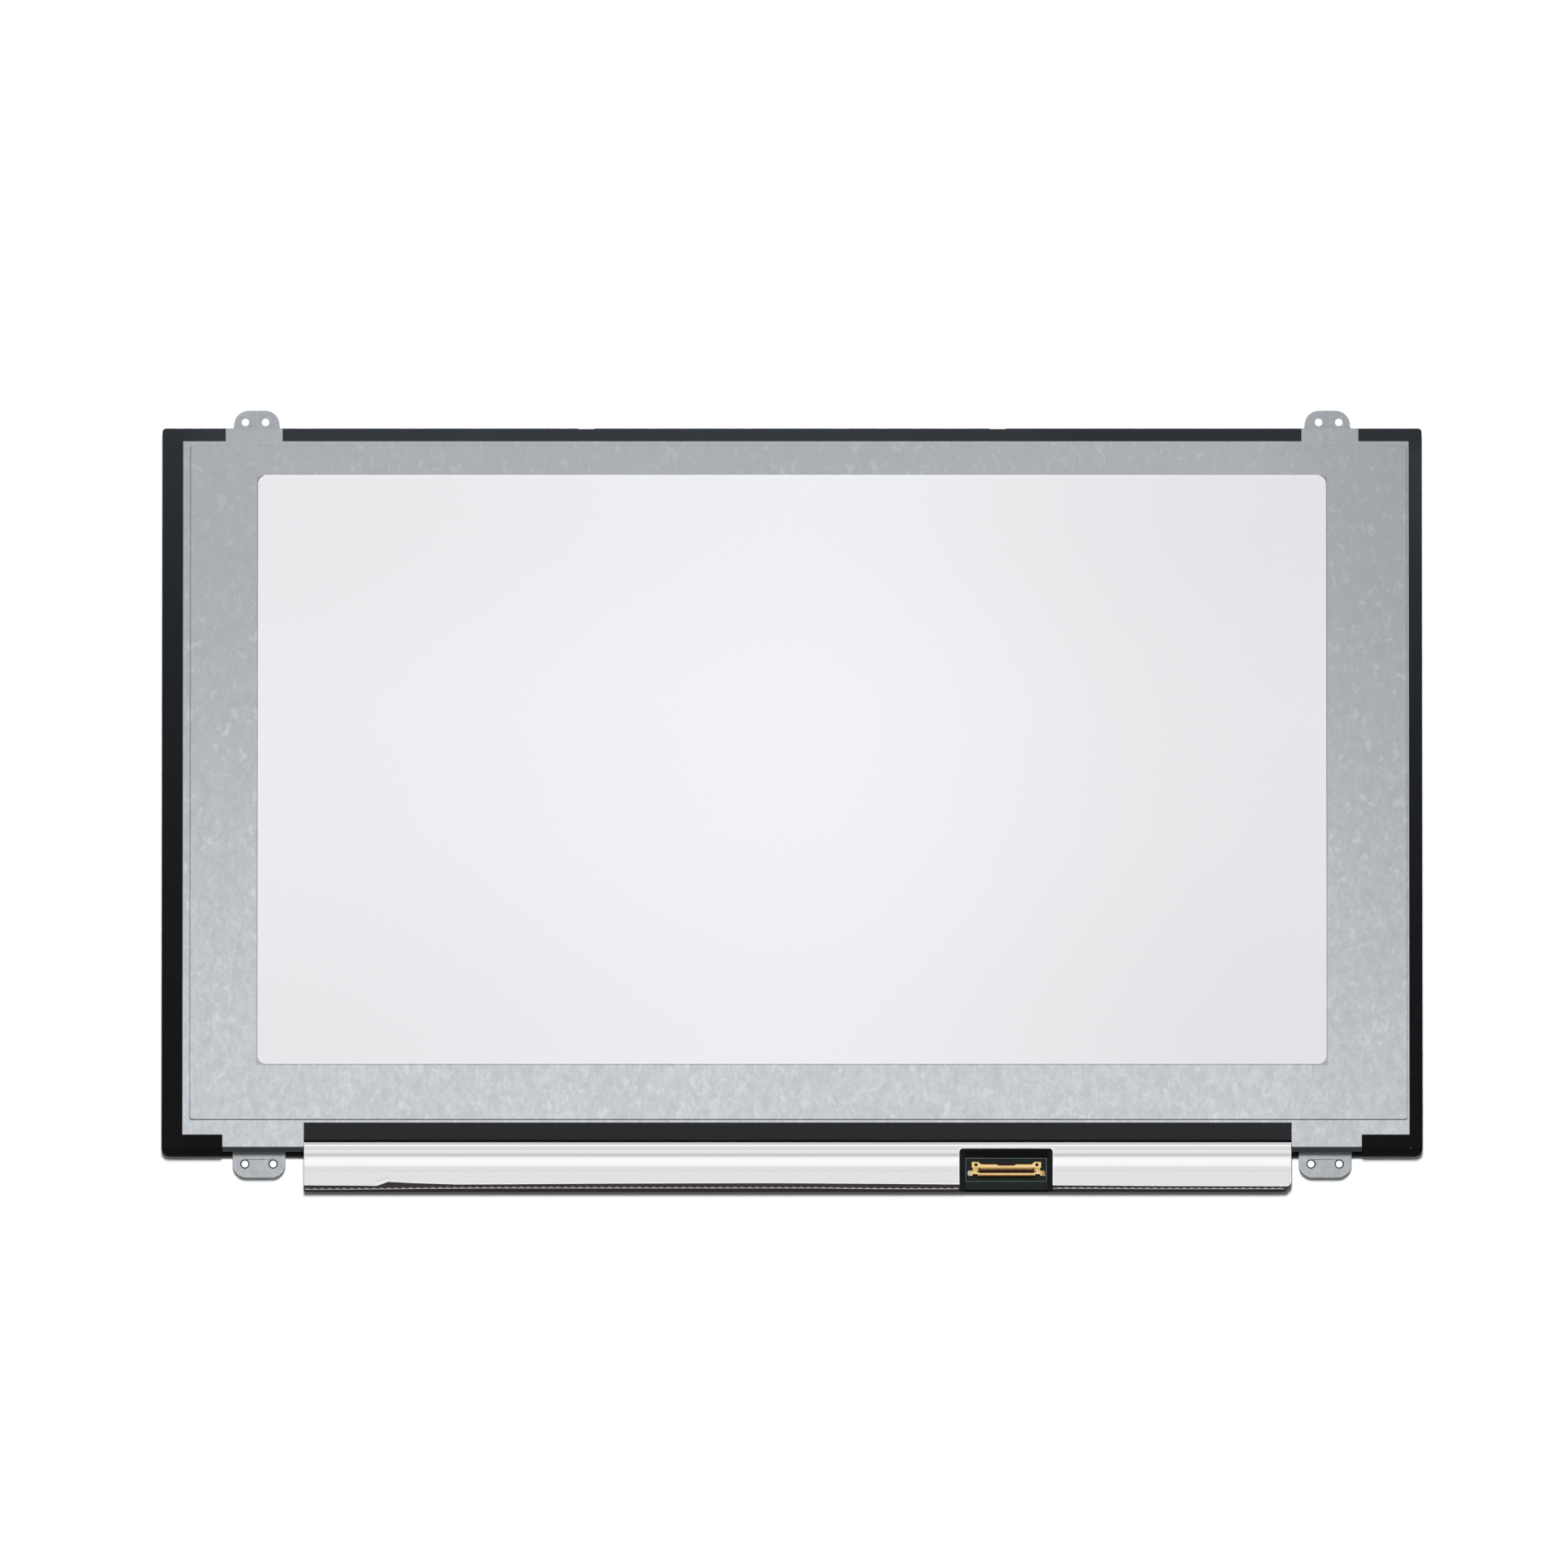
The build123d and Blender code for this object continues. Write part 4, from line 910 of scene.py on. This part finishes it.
def rounded_path(corners):
    """Points along a path whose corners are rounded by the given radii."""
    points = []
    for index, (y, z, radius) in enumerate(corners):
        here = np.array((y, z))
        if not radius:
            points.append(here)
            continue
        back = np.array(corners[index - 1][:2]) - here
        ahead = np.array(corners[index + 1][:2]) - here
        back /= np.linalg.norm(back)
        ahead /= np.linalg.norm(ahead)
        half_angle = math.acos(back @ ahead) / 2
        middle = back + ahead
        centre = here + middle / np.linalg.norm(middle) * radius / math.sin(half_angle)
        start = here + back * radius / math.tan(half_angle) - centre
        end = here + ahead * radius / math.tan(half_angle) - centre
        turn = math.pi - 2 * half_angle
        for step in np.linspace(0, 1, BEND_STEPS + 1):
            share = np.sin((1 - step) * turn) * start + np.sin(step * turn) * end
            points.append(centre + share / math.sin(turn))
    return np.array(points)


section = rounded_path(WRAP_SECTION)
run = np.concatenate(((0,), np.cumsum(np.linalg.norm(np.diff(section, axis=0), axis=1))))
rear_points = section[:, 1] > 1.8

section_curve = bpy.data.curves.new("wrap_section", "CURVE")
section_curve.dimensions = "3D"
spline = section_curve.splines.new("POLY")
spline.points.add(len(section) - 1)
for point, (y, z) in zip(spline.points, section * MM):
    point.co = (0, y, z, 1)
section_object = new_piece("wrap_section", section_curve)


def down_to(y):
    """How far along the section the rear face reaches a place on Y, mm."""
    return np.interp(-np.asarray(y, float), -section[rear_points, 0], run[rear_points])


def place_on_y(length):
    """The place on Y at a length along the section, mm."""
    return np.interp(length, run, section[:, 0])


print("length of the wrap's section, mm:", round(run[-1], 2))

# %% [markdown]
# The tree needs named inputs for its sizes. A small set of helpers opens a tree, closes it with
# real geometry and a finish, and puts it on a piece.

# %% Geometry Nodes helpers
def open_tree(name, sockets):
    """A Geometry Nodes tree with named inputs; returns it and its inputs."""
    tree = bpy.data.node_groups.new(name, "GeometryNodeTree")
    tree.interface.new_socket("Geometry", in_out="INPUT", socket_type="NodeSocketGeometry")
    for socket, kind in sockets.items():
        tree.interface.new_socket(socket, in_out="INPUT", socket_type="NodeSocket" + kind)
    tree.interface.new_socket("Geometry", in_out="OUTPUT", socket_type="NodeSocketGeometry")
    return tree, add_node(tree, "NodeGroupInput").outputs


def close_tree(tree, geometry, finish):
    """Ends a tree with real geometry and the piece's finish."""
    real = add_node(tree, "GeometryNodeRealizeInstances", {"Geometry": geometry}).outputs["Geometry"]
    dressed = add_node(tree, "GeometryNodeSetMaterial", {"Geometry": real, "Material": finish})
    add_node(tree, "NodeGroupOutput", {"Geometry": dressed.outputs["Geometry"]})


def put_tree(piece, tree, values):
    """Puts a tree on a piece and sets its inputs by their identifiers."""
    modifier = piece.modifiers.new(tree.name, "NODES")
    modifier.node_group = tree
    for socket in tree.interface.items_tree:
        if socket.in_out == "INPUT" and socket.name in values:
            modifier[socket.identifier] = values[socket.name]


print("tree helpers:", open_tree.__name__, close_tree.__name__, put_tree.__name__)

# %% Tree that lays a flat sheet along the section
SHEET_SOCKETS = {
    "Section": "Object",
    "Lift": "Float",
    "Ripple Height": "Float",
    "Ripple Length": "Float",
    "Seed": "Float",
    "Finish": "Material",
}
lay_sheet, given = open_tree("lay_sheet", SHEET_SOCKETS)
flat_place = add_node(lay_sheet, "GeometryNodeInputPosition").outputs["Position"]
flat = add_node(lay_sheet, "ShaderNodeSeparateXYZ", {"Vector": flat_place}).outputs
curve = add_node(lay_sheet, "GeometryNodeObjectInfo", {"Object": given["Section"]}).outputs["Geometry"]
inputs = {"Curves": curve, "Length": flat["Y"]}
on_section = add_node(lay_sheet, "GeometryNodeSampleCurve", inputs, mode="LENGTH").outputs
outward = vector_node(lay_sheet, "CROSS_PRODUCT", on_section["Tangent"], (1, 0, 0))
inputs = {"X": flat["X"], "Y": product(lay_sheet, flat["Y"], 5.0), "Z": given["Seed"]}
ripple_place = add_node(lay_sheet, "ShaderNodeCombineXYZ", inputs).outputs["Vector"]
finer = math_node(lay_sheet, "DIVIDE", 1.0, given["Ripple Length"])
inputs = {"Vector": ripple_place, "Scale": finer, "Detail": 1.0}
ripple = add_node(lay_sheet, "ShaderNodeTexNoise", inputs).outputs["Fac"]
ripple = product(lay_sheet, math_node(lay_sheet, "SUBTRACT", ripple, 0.5), given["Ripple Height"])
own_lift = add_node(
    lay_sheet, "GeometryNodeInputNamedAttribute", {"Name": "lift"}, data_type="FLOAT"
).outputs["Attribute"]
lift = math_node(lay_sheet, "ADD", math_node(lay_sheet, "ADD", ripple, given["Lift"]), own_lift)
sideways = add_node(lay_sheet, "ShaderNodeCombineXYZ", {"X": flat["X"]}).outputs["Vector"]
laid = vector_node(lay_sheet, "ADD", on_section["Position"], scaled(lay_sheet, outward, lift))
laid = vector_node(lay_sheet, "ADD", laid, sideways)
moved = add_node(lay_sheet, "GeometryNodeSetPosition", {"Geometry": given["Geometry"], "Position": laid})
close_tree(lay_sheet, moved.outputs["Geometry"], given["Finish"])
print("tree:", lay_sheet.name, "nodes:", len(lay_sheet.nodes))

# %% [markdown]
# ## Cutting the sheets
# A cut sheet is a grid: columns across the panel and rows along the section, with a top and a
# bottom edge that may change from column to column. Rows that fall outside an edge slide onto it
# and are welded there. Every point stores how far it stands off the section, and the foil's points
# also store how near they are to a cut edge, for a painted highlight.

# %% Cutting helpers
def cut_sheet(name, strips, rows, rim=(0.0,)):
    """A flat sheet of strips, each with columns, top edges and bottom edges, all in millimetres."""
    rim = np.array(rim)
    shape = bmesh.new()
    for columns, tops, bottoms in strips:
        grid = []
        tops, bottoms = (np.broadcast_to(edge, columns.shape) for edge in (tops, bottoms))
        for x, top, bottom in zip(columns, tops, bottoms):
            places = np.concatenate((np.clip(rows, top, bottom - rim[0]), bottom - rim))
            grid.append([shape.verts.new((x * MM, place * MM, 0)) for place in places])
        for left, right in zip(grid, grid[1:]):
            for index in range(len(left) - 1):
                shape.faces.new((left[index], left[index + 1], right[index + 1], right[index]))
    bmesh.ops.remove_doubles(shape, verts=shape.verts, dist=0.002 * MM)
    mesh = bpy.data.meshes.new(name)
    shape.to_mesh(mesh)
    shape.free()
    points = np.empty(len(mesh.vertices) * 3)
    mesh.vertices.foreach_get("co", points)
    points = points.reshape(-1, 3) / MM
    return new_piece(name, mesh), points[:, 0], points[:, 1]


def mark(piece, name, values):
    """Stores one number for every point of a piece."""
    attribute = piece.data.attributes.new(name, "FLOAT", "POINT")
    attribute.data.foreach_set("value", np.asarray(values, np.float32))


def lay_along_section(piece, lift, thickness, finish, node, slot):
    """Lays a cut sheet along the section, gives it its thickness and shows it."""
    values = {
        "Section": section_object,
        "Lift": lift * MM,
        "Ripple Height": 0.012 * MM,
        "Ripple Length": 24 * MM,
        "Seed": 0.5,
        "Finish": finish,
    }
    put_tree(piece, lay_sheet, values)
    wall = piece.modifiers.new("thickness", "SOLIDIFY")
    wall.thickness = thickness * MM
    wall.offset = -1
    mesh = carry_out(piece)
    mesh.shade_smooth()
    mesh.set_sharp_from_angle(angle=math.radians(35))
    stand_in(piece, node, slot)


def apart(x, y, left, right, top):
    """Distance from a notch that is open downwards."""
    beside = np.maximum(np.maximum(left - x, x - right), 0)
    above = np.maximum(y - top, 0)
    return np.hypot(beside, above)


bend_rows = np.concatenate((run, np.arange(0, run[-1], 1.0)))
print("rows along the section:", len(bend_rows))

# %% [markdown]
# ### Black film
# The film has a notch that leaves the connector free. Its cut rim droops a little towards the
# board there, because nothing holds it up. Below the notch a low wall of film is left standing,
# and the lower left corner is cut off.

# %% Black film
FILM_LEFT, FILM_RIGHT = -139.2, 142.4
FRONT_INSET = 2.0
FILM_NOTCH = (49.3, 72.9, -100.55)
NOTCH_MARGIN = 1.4
DROOP = 0.35
NOTCH_WALL = 0.85  # film left standing below the notch
LEFT_CUT = (0.6, 1.2)  # width and height of the corner cut off at the lower left
FILM_STEP = 3.0  # between columns

side_end = run[-1] - (FRONT_END - SIDE_Y - 0.3) - 0.3 * math.pi / 2  # start of the last bend
notch_left, notch_right, notch_top = FILM_NOTCH
rim_steps = np.linspace(0, NOTCH_MARGIN, 8)
notch_rows = down_to(np.linspace(notch_top, notch_top + NOTCH_MARGIN, 8))
film_rows = np.sort(np.concatenate((bend_rows, notch_rows, (side_end - NOTCH_WALL, side_end))))
front_left, front_right = FILM_LEFT + FRONT_INSET, FILM_RIGHT - FRONT_INSET
plain_left = np.arange(front_left, notch_left - NOTCH_MARGIN, FILM_STEP)
plain_right = np.arange(notch_right + FILM_STEP, front_right, FILM_STEP)
left_columns = np.concatenate((plain_left, notch_left - rim_steps[::-1]))
right_columns = np.concatenate((notch_right + rim_steps, plain_right, (front_right,)))
middle_columns = np.linspace(notch_left, notch_right, 13)
corner_columns = np.linspace(front_right, FILM_RIGHT, 9)
corner_low = SIDE_Y + (corner_columns - front_right)
cut_width, cut_height = LEFT_CUT
cut_columns = np.array((FILM_LEFT, FILM_LEFT + cut_width, front_left))
wrap_film, film_x, film_run = cut_sheet(
    "wrap_film",
    [
        (cut_columns, 0, np.array((side_end - cut_height, side_end, side_end))),
        (left_columns, 0, run[-1]),
        (middle_columns, 0, down_to(notch_top)),
        (middle_columns, side_end - NOTCH_WALL, run[-1]),
        (right_columns, 0, run[-1]),
        (corner_columns, 0, down_to(corner_low)),
    ],
    film_rows,
)
near_notch = np.clip(1 - apart(film_x, place_on_y(film_run), *FILM_NOTCH) / NOTCH_MARGIN, 0, 1)
on_rear = np.clip((down_to(-111.3) - film_run) / 1.0, 0, 1)
mark(wrap_film, "lift", -DROOP * MM * on_rear * near_notch**2)
lay_along_section(wrap_film, 0, 0.1, black_film, "cover_film", "black_film")

# %% [markdown]
# ### Bright foil
# The foil's lower edge was cut by hand: it wanders by half a millimetre and has a torn nick on
# the left. The cut lifts its rim a little, and a painted highlight gives the bright line along it.

# %% The foil's outline
FOIL_TOP = -97.84
FOIL_ENDS = (-139.1, 142.27)
FOIL_THICKNESS = 0.05
FOIL_LOW = (  # X and Y along the lower edge, mm
    (-139.2, -110.05),
    (-124.0, -110.12),
    (-118.4, -110.2),
    (-115.1, -109.05),
    (-108.8, -109.4),
    (-103.2, -109.56),
    (-96.0, -109.8),
    (-87.0, -109.79),
    (-52.3, -109.56),
    (-6.0, -109.44),
    (25.2, -109.63),
    (40.9, -109.75),
    (74.0, -110.05),
    (107.4, -110.26),
    (141.2, -110.33),
    (141.6, -110.2),
    (142.05, -109.7),
    (142.3, -109.2),
)
FOIL_RIM = (0.3, 0.2, 0.12, 0.05, 0.0)
RIM_WIDTH = 0.28
NOTCH_RIM_WIDTH = 0.5
RIM_LIFT = 0.05
RIDGE = ((-118.3, -109.3), (-115.3, -108.2))  # a fold above the nick
RIDGE_WIDTH = 0.25
RIDGE_LIFT = 0.03

foil_notch = (notch_left - 1.62, notch_right + NOTCH_MARGIN, notch_top + 1.0)
foil_left, foil_right, foil_notch_top = foil_notch
edge_x, edge_y = np.array(FOIL_LOW).T


def foil_low(x):
    """Length along the section at which the foil ends, for a place on X."""
    return down_to(np.interp(x, edge_x, edge_y))


print("corners along the foil's lower edge:", len(FOIL_LOW))

# %% Cut the foil
fine = np.concatenate((np.arange(-122, -94, 0.5), edge_x))
first, last = FOIL_ENDS
foil_columns = np.concatenate((np.arange(first, last, 2.0), fine, (foil_left, foil_right)))
foil_columns = np.unique(np.round(np.clip(foil_columns, first, last), 3))
rim_columns = np.array((0.0, 0.05, 0.12, 0.2, 0.3, 0.45, 0.6, 0.8, 1.0))
plain = np.arange(foil_left + 3, foil_right - 2, 2.0)
across_notch = np.concatenate((foil_left + rim_columns, plain, foil_right - rim_columns[::-1]))
from_side = np.clip(np.minimum(across_notch - foil_left, foil_right - across_notch), 0, 1)
arch = foil_notch_top - 1 + np.sqrt(1 - (1 - from_side) ** 2)
before = foil_columns[foil_columns <= foil_left]
before = np.unique(np.concatenate((first + rim_columns, before, foil_left - rim_columns)))
after = foil_columns[foil_columns >= foil_right]
after = np.unique(np.concatenate((after, foil_right + rim_columns, last - rim_columns)))
fine_rows = np.concatenate((np.arange(-107.5, -110.6, -0.15), (foil_notch_top, foil_notch_top - 1)))
foil_rows = np.sort(np.concatenate((bend_rows, down_to(fine_rows))))
top = down_to(FOIL_TOP)
shield, foil_x, foil_run = cut_sheet(
    "bright_shield",
    [
        (before, top, foil_low(before)),
        (across_notch, top, down_to(arch)),
        (after, top, foil_low(after)),
    ],
    foil_rows,
    FOIL_RIM,
)
print("points of the cut foil:", len(foil_x))

# %% Lift the foil's rims and lay it
foil_y = place_on_y(foil_run)
low_rim = np.clip(1 - (foil_low(foil_x) - foil_run) / RIM_WIDTH, 0, 1)
low_rim[(foil_x > foil_left) & (foil_x < foil_right)] = 0
end_rim = np.clip(1 - np.minimum(last - foil_x, foil_x - first) / RIM_WIDTH, 0, 1)
notch_rim = np.clip(1 - apart(foil_x, foil_y, *foil_notch) / NOTCH_RIM_WIDTH, 0, 1)
ridge_start, ridge_end = np.array(RIDGE)
ridge = ridge_end - ridge_start
offset = np.stack((foil_x, foil_y), axis=1) - ridge_start
nearest = np.clip(offset @ ridge / (ridge @ ridge), 0, 1)
from_ridge = np.linalg.norm(offset - nearest[:, None] * ridge, axis=1)
ridge_lift = RIDGE_LIFT * np.exp(-((from_ridge / RIDGE_WIDTH) ** 2))
mark(shield, "lift", MM * (RIM_LIFT * low_rim**2 + ridge_lift))
# Painted highlight along the lower edge, both ends and the notch rim.
mark(shield, "cut_edge", np.maximum(np.maximum(low_rim, end_rim), 0.9 * notch_rim))
lay_along_section(shield, FOIL_THICKNESS, FOIL_THICKNESS, bright_foil, "shield_foil", "bright_foil")

# %% [markdown]
# ### Pinked tape
# A narrow grey tape seals the film below the foil. Pinking shears gave its upper side a wave. A
# sine whose crests lean to one side follows that rule, so no tooth has to be drawn. The tape was
# laid by hand, so a short list of places says how far it strays.

# %% Pinked tape
TAPE_TOP = -110.5
TAPE_WIDTH = 0.44
TAPE_DRIFT = (  # X and the drift on Y, mm
    (-139, -0.40),
    (-124, -0.34),
    (-103, -0.12),
    (-85, 0.0),
    (6, 0.0),
    (25, -0.22),
    (42, -0.27),
    (80, -0.10),
    (107, -0.23),
    (142, -0.23),
)
TOOTH_PITCH = 2.1
TOOTH_DEPTH = 0.3


def tape_drift(x):
    """How far the tape strays at a place on X, mm."""
    return np.interp(x, *np.array(TAPE_DRIFT).T)


def tape_top(x):
    """Place on Y of the tape's pinked side."""
    turn = 2 * np.pi * x / TOOTH_PITCH
    wave = 0.5 + 0.5 * np.sin(turn + 0.7 * np.sin(turn))
    return TAPE_TOP + tape_drift(x) - TOOTH_DEPTH * (1 - wave)


tape_columns = (
    np.arange(FILM_LEFT + 0.3, foil_left, TOOTH_PITCH / 8),
    np.arange(foil_right + 0.2, FILM_RIGHT - 1.9, TOOTH_PITCH / 8),
)
pinked_tape, tape_x, _ = cut_sheet(
    "pinked_tape",
    [
        (columns, down_to(tape_top(columns)), down_to(TAPE_TOP + tape_drift(columns) - TAPE_WIDTH))
        for columns in tape_columns
    ],
    down_to(np.linspace(TAPE_TOP, TAPE_TOP - 2 * TAPE_WIDTH, 9)),
)
mark(pinked_tape, "lift", np.zeros(len(tape_x)))
lay_along_section(pinked_tape, 0.06, 0.06, grey_tape, "edge_tape", "grey_tape")
bpy.data.objects.remove(section_object)

# %% [markdown]
# ## Connector shell
# The shell is stamped from thin brass and plated with gold. Its edges were rolled by the punch, and
# they mirror the dark and the bright parts of the room, which with the finish's painted light and
# shade outlines every tab of it. The CAD shape is right, so a welded copy only gets rounded edges.

# %% Connector shell
gold_shell = welded_copy("connector_shell", "gold_shell")
round_edges(gold_shell, 0.06 * MM, 30).materials.append(gold_plate)
stand_in(gold_shell, "connector_shell", "gold_plate")

# %% [markdown]
# ## Solder
# Solder wets a metal leg and freezes as a small dome, dull on the contacts' tails and bright on the
# shell's two legs, where the left one got more of it. A dome repeated along a row is a task for
# Geometry Nodes: a line of points, one small sphere on each, squashed to the dome's size. A little
# noise makes the domes uneven.

# %% Tree for a row of solder domes
DOME_SOCKETS = {
    "Count": "Int",
    "Start": "Vector",
    "Step": "Vector",
    "Dome": "Vector",
    "Roughness": "Float",
    "Seed": "Float",
    "Finish": "Material",
}
solder_row, given = open_tree("solder_row", DOME_SOCKETS)
inputs = {"Count": given["Count"], "Start Location": given["Start"], "Offset": given["Step"]}
row = add_node(solder_row, "GeometryNodeMeshLine", inputs).outputs["Mesh"]
inputs = {"Segments": 12, "Rings": 8, "Radius": 1.0}
ball = add_node(solder_row, "GeometryNodeMeshUVSphere", inputs).outputs["Mesh"]
inputs = {"Geometry": ball, "Scale": given["Dome"]}
ball = add_node(solder_row, "GeometryNodeTransform", inputs).outputs["Geometry"]
inputs = {"Points": row, "Instance": ball}
domes = add_node(solder_row, "GeometryNodeInstanceOnPoints", inputs).outputs["Instances"]
domes = add_node(solder_row, "GeometryNodeRealizeInstances", {"Geometry": domes}).outputs["Geometry"]
place = add_node(solder_row, "GeometryNodeInputPosition").outputs["Position"]
inputs = {"Vector": scaled(solder_row, place, 1 / (0.4 * MM)), "W": given["Seed"]}
uneven = add_node(solder_row, "ShaderNodeTexNoise", inputs, noise_dimensions="4D").outputs["Color"]
uneven = vector_node(solder_row, "SUBTRACT", uneven, (0.5, 0.5, 0.5))
inputs = {"Geometry": domes, "Offset": scaled(solder_row, uneven, given["Roughness"])}
domes = add_node(solder_row, "GeometryNodeSetPosition", inputs).outputs["Geometry"]
close_tree(solder_row, domes, given["Finish"])
print("tree:", solder_row.name, "nodes:", len(solder_row.nodes))

# %% Solder domes
BOARD_TOP = 1.45


def solder_domes(name, count, start, step, dome, roughness, finish):
    """A row of solder domes, sizes in millimetres."""
    piece = new_piece(name, bpy.data.meshes.new(name))
    values = {
        "Count": count,
        "Start": [size * MM for size in start],
        "Step": [size * MM for size in step],
        "Dome": [size * MM for size in dome],
        "Roughness": roughness * MM,
        "Seed": 3.0,
        "Finish": finish,
    }
    put_tree(piece, solder_row, values)
    carry_out(piece).shade_smooth()
    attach(piece, "root")
    print(name, "domes:", count, "triangles:", triangles(piece))


STEP = (0.5, 0, 0)
tails = (CONNECTOR_X - 7.25, -103.48, 1.47)
left_leg = (CONNECTOR_X - 10.7, -106.55, 1.5)
right_leg = (CONNECTOR_X + 10.9, -107.1, 1.5)
solder_domes("contact_solder", 30, tails, STEP, (0.13, 0.2, 0.10), 0.04, dull_solder)
solder_domes("left_leg_solder", 1, left_leg, STEP, (0.50, 0.85, 0.26), 0.3, solder)
solder_domes("right_leg_solder", 1, right_leg, STEP, (0.25, 0.35, 0.22), 0.2, solder)

# %% [markdown]
# ## Printed outline
# A thin pale line on the board frames the connector, as a guide for assembly. It is a flat ring
# with almost no thickness.

# %% Printed outline
PRINT_AREA = (49.45, 72.55, -102.2, -108.9)
PRINT_WIDTH = 0.14
print_left, print_right, print_top, print_bottom = PRINT_AREA
outline = []
for inset in (0, PRINT_WIDTH):
    left, right = print_left + inset, print_right - inset
    bottom, top = print_bottom + inset, print_top - inset
    for x, y in ((left, bottom), (right, bottom), (right, top), (left, top)):
        outline.append((x * MM, y * MM, (BOARD_TOP + 0.015) * MM))
sides = [(index, (index + 1) % 4, (index + 1) % 4 + 4, index + 4) for index in range(4)]
outline_mesh = bpy.data.meshes.new("printed_outline")
outline_mesh.from_pydata(outline, [], sides)
printed_outline = new_piece("printed_outline", outline_mesh)
ink = printed_outline.modifiers.new("thickness", "SOLIDIFY")
ink.thickness = 0.012 * MM
ink.offset = -1
carry_out(printed_outline).materials.append(board_print)
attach(printed_outline, "root")
print("printed outline triangles:", triangles(printed_outline))
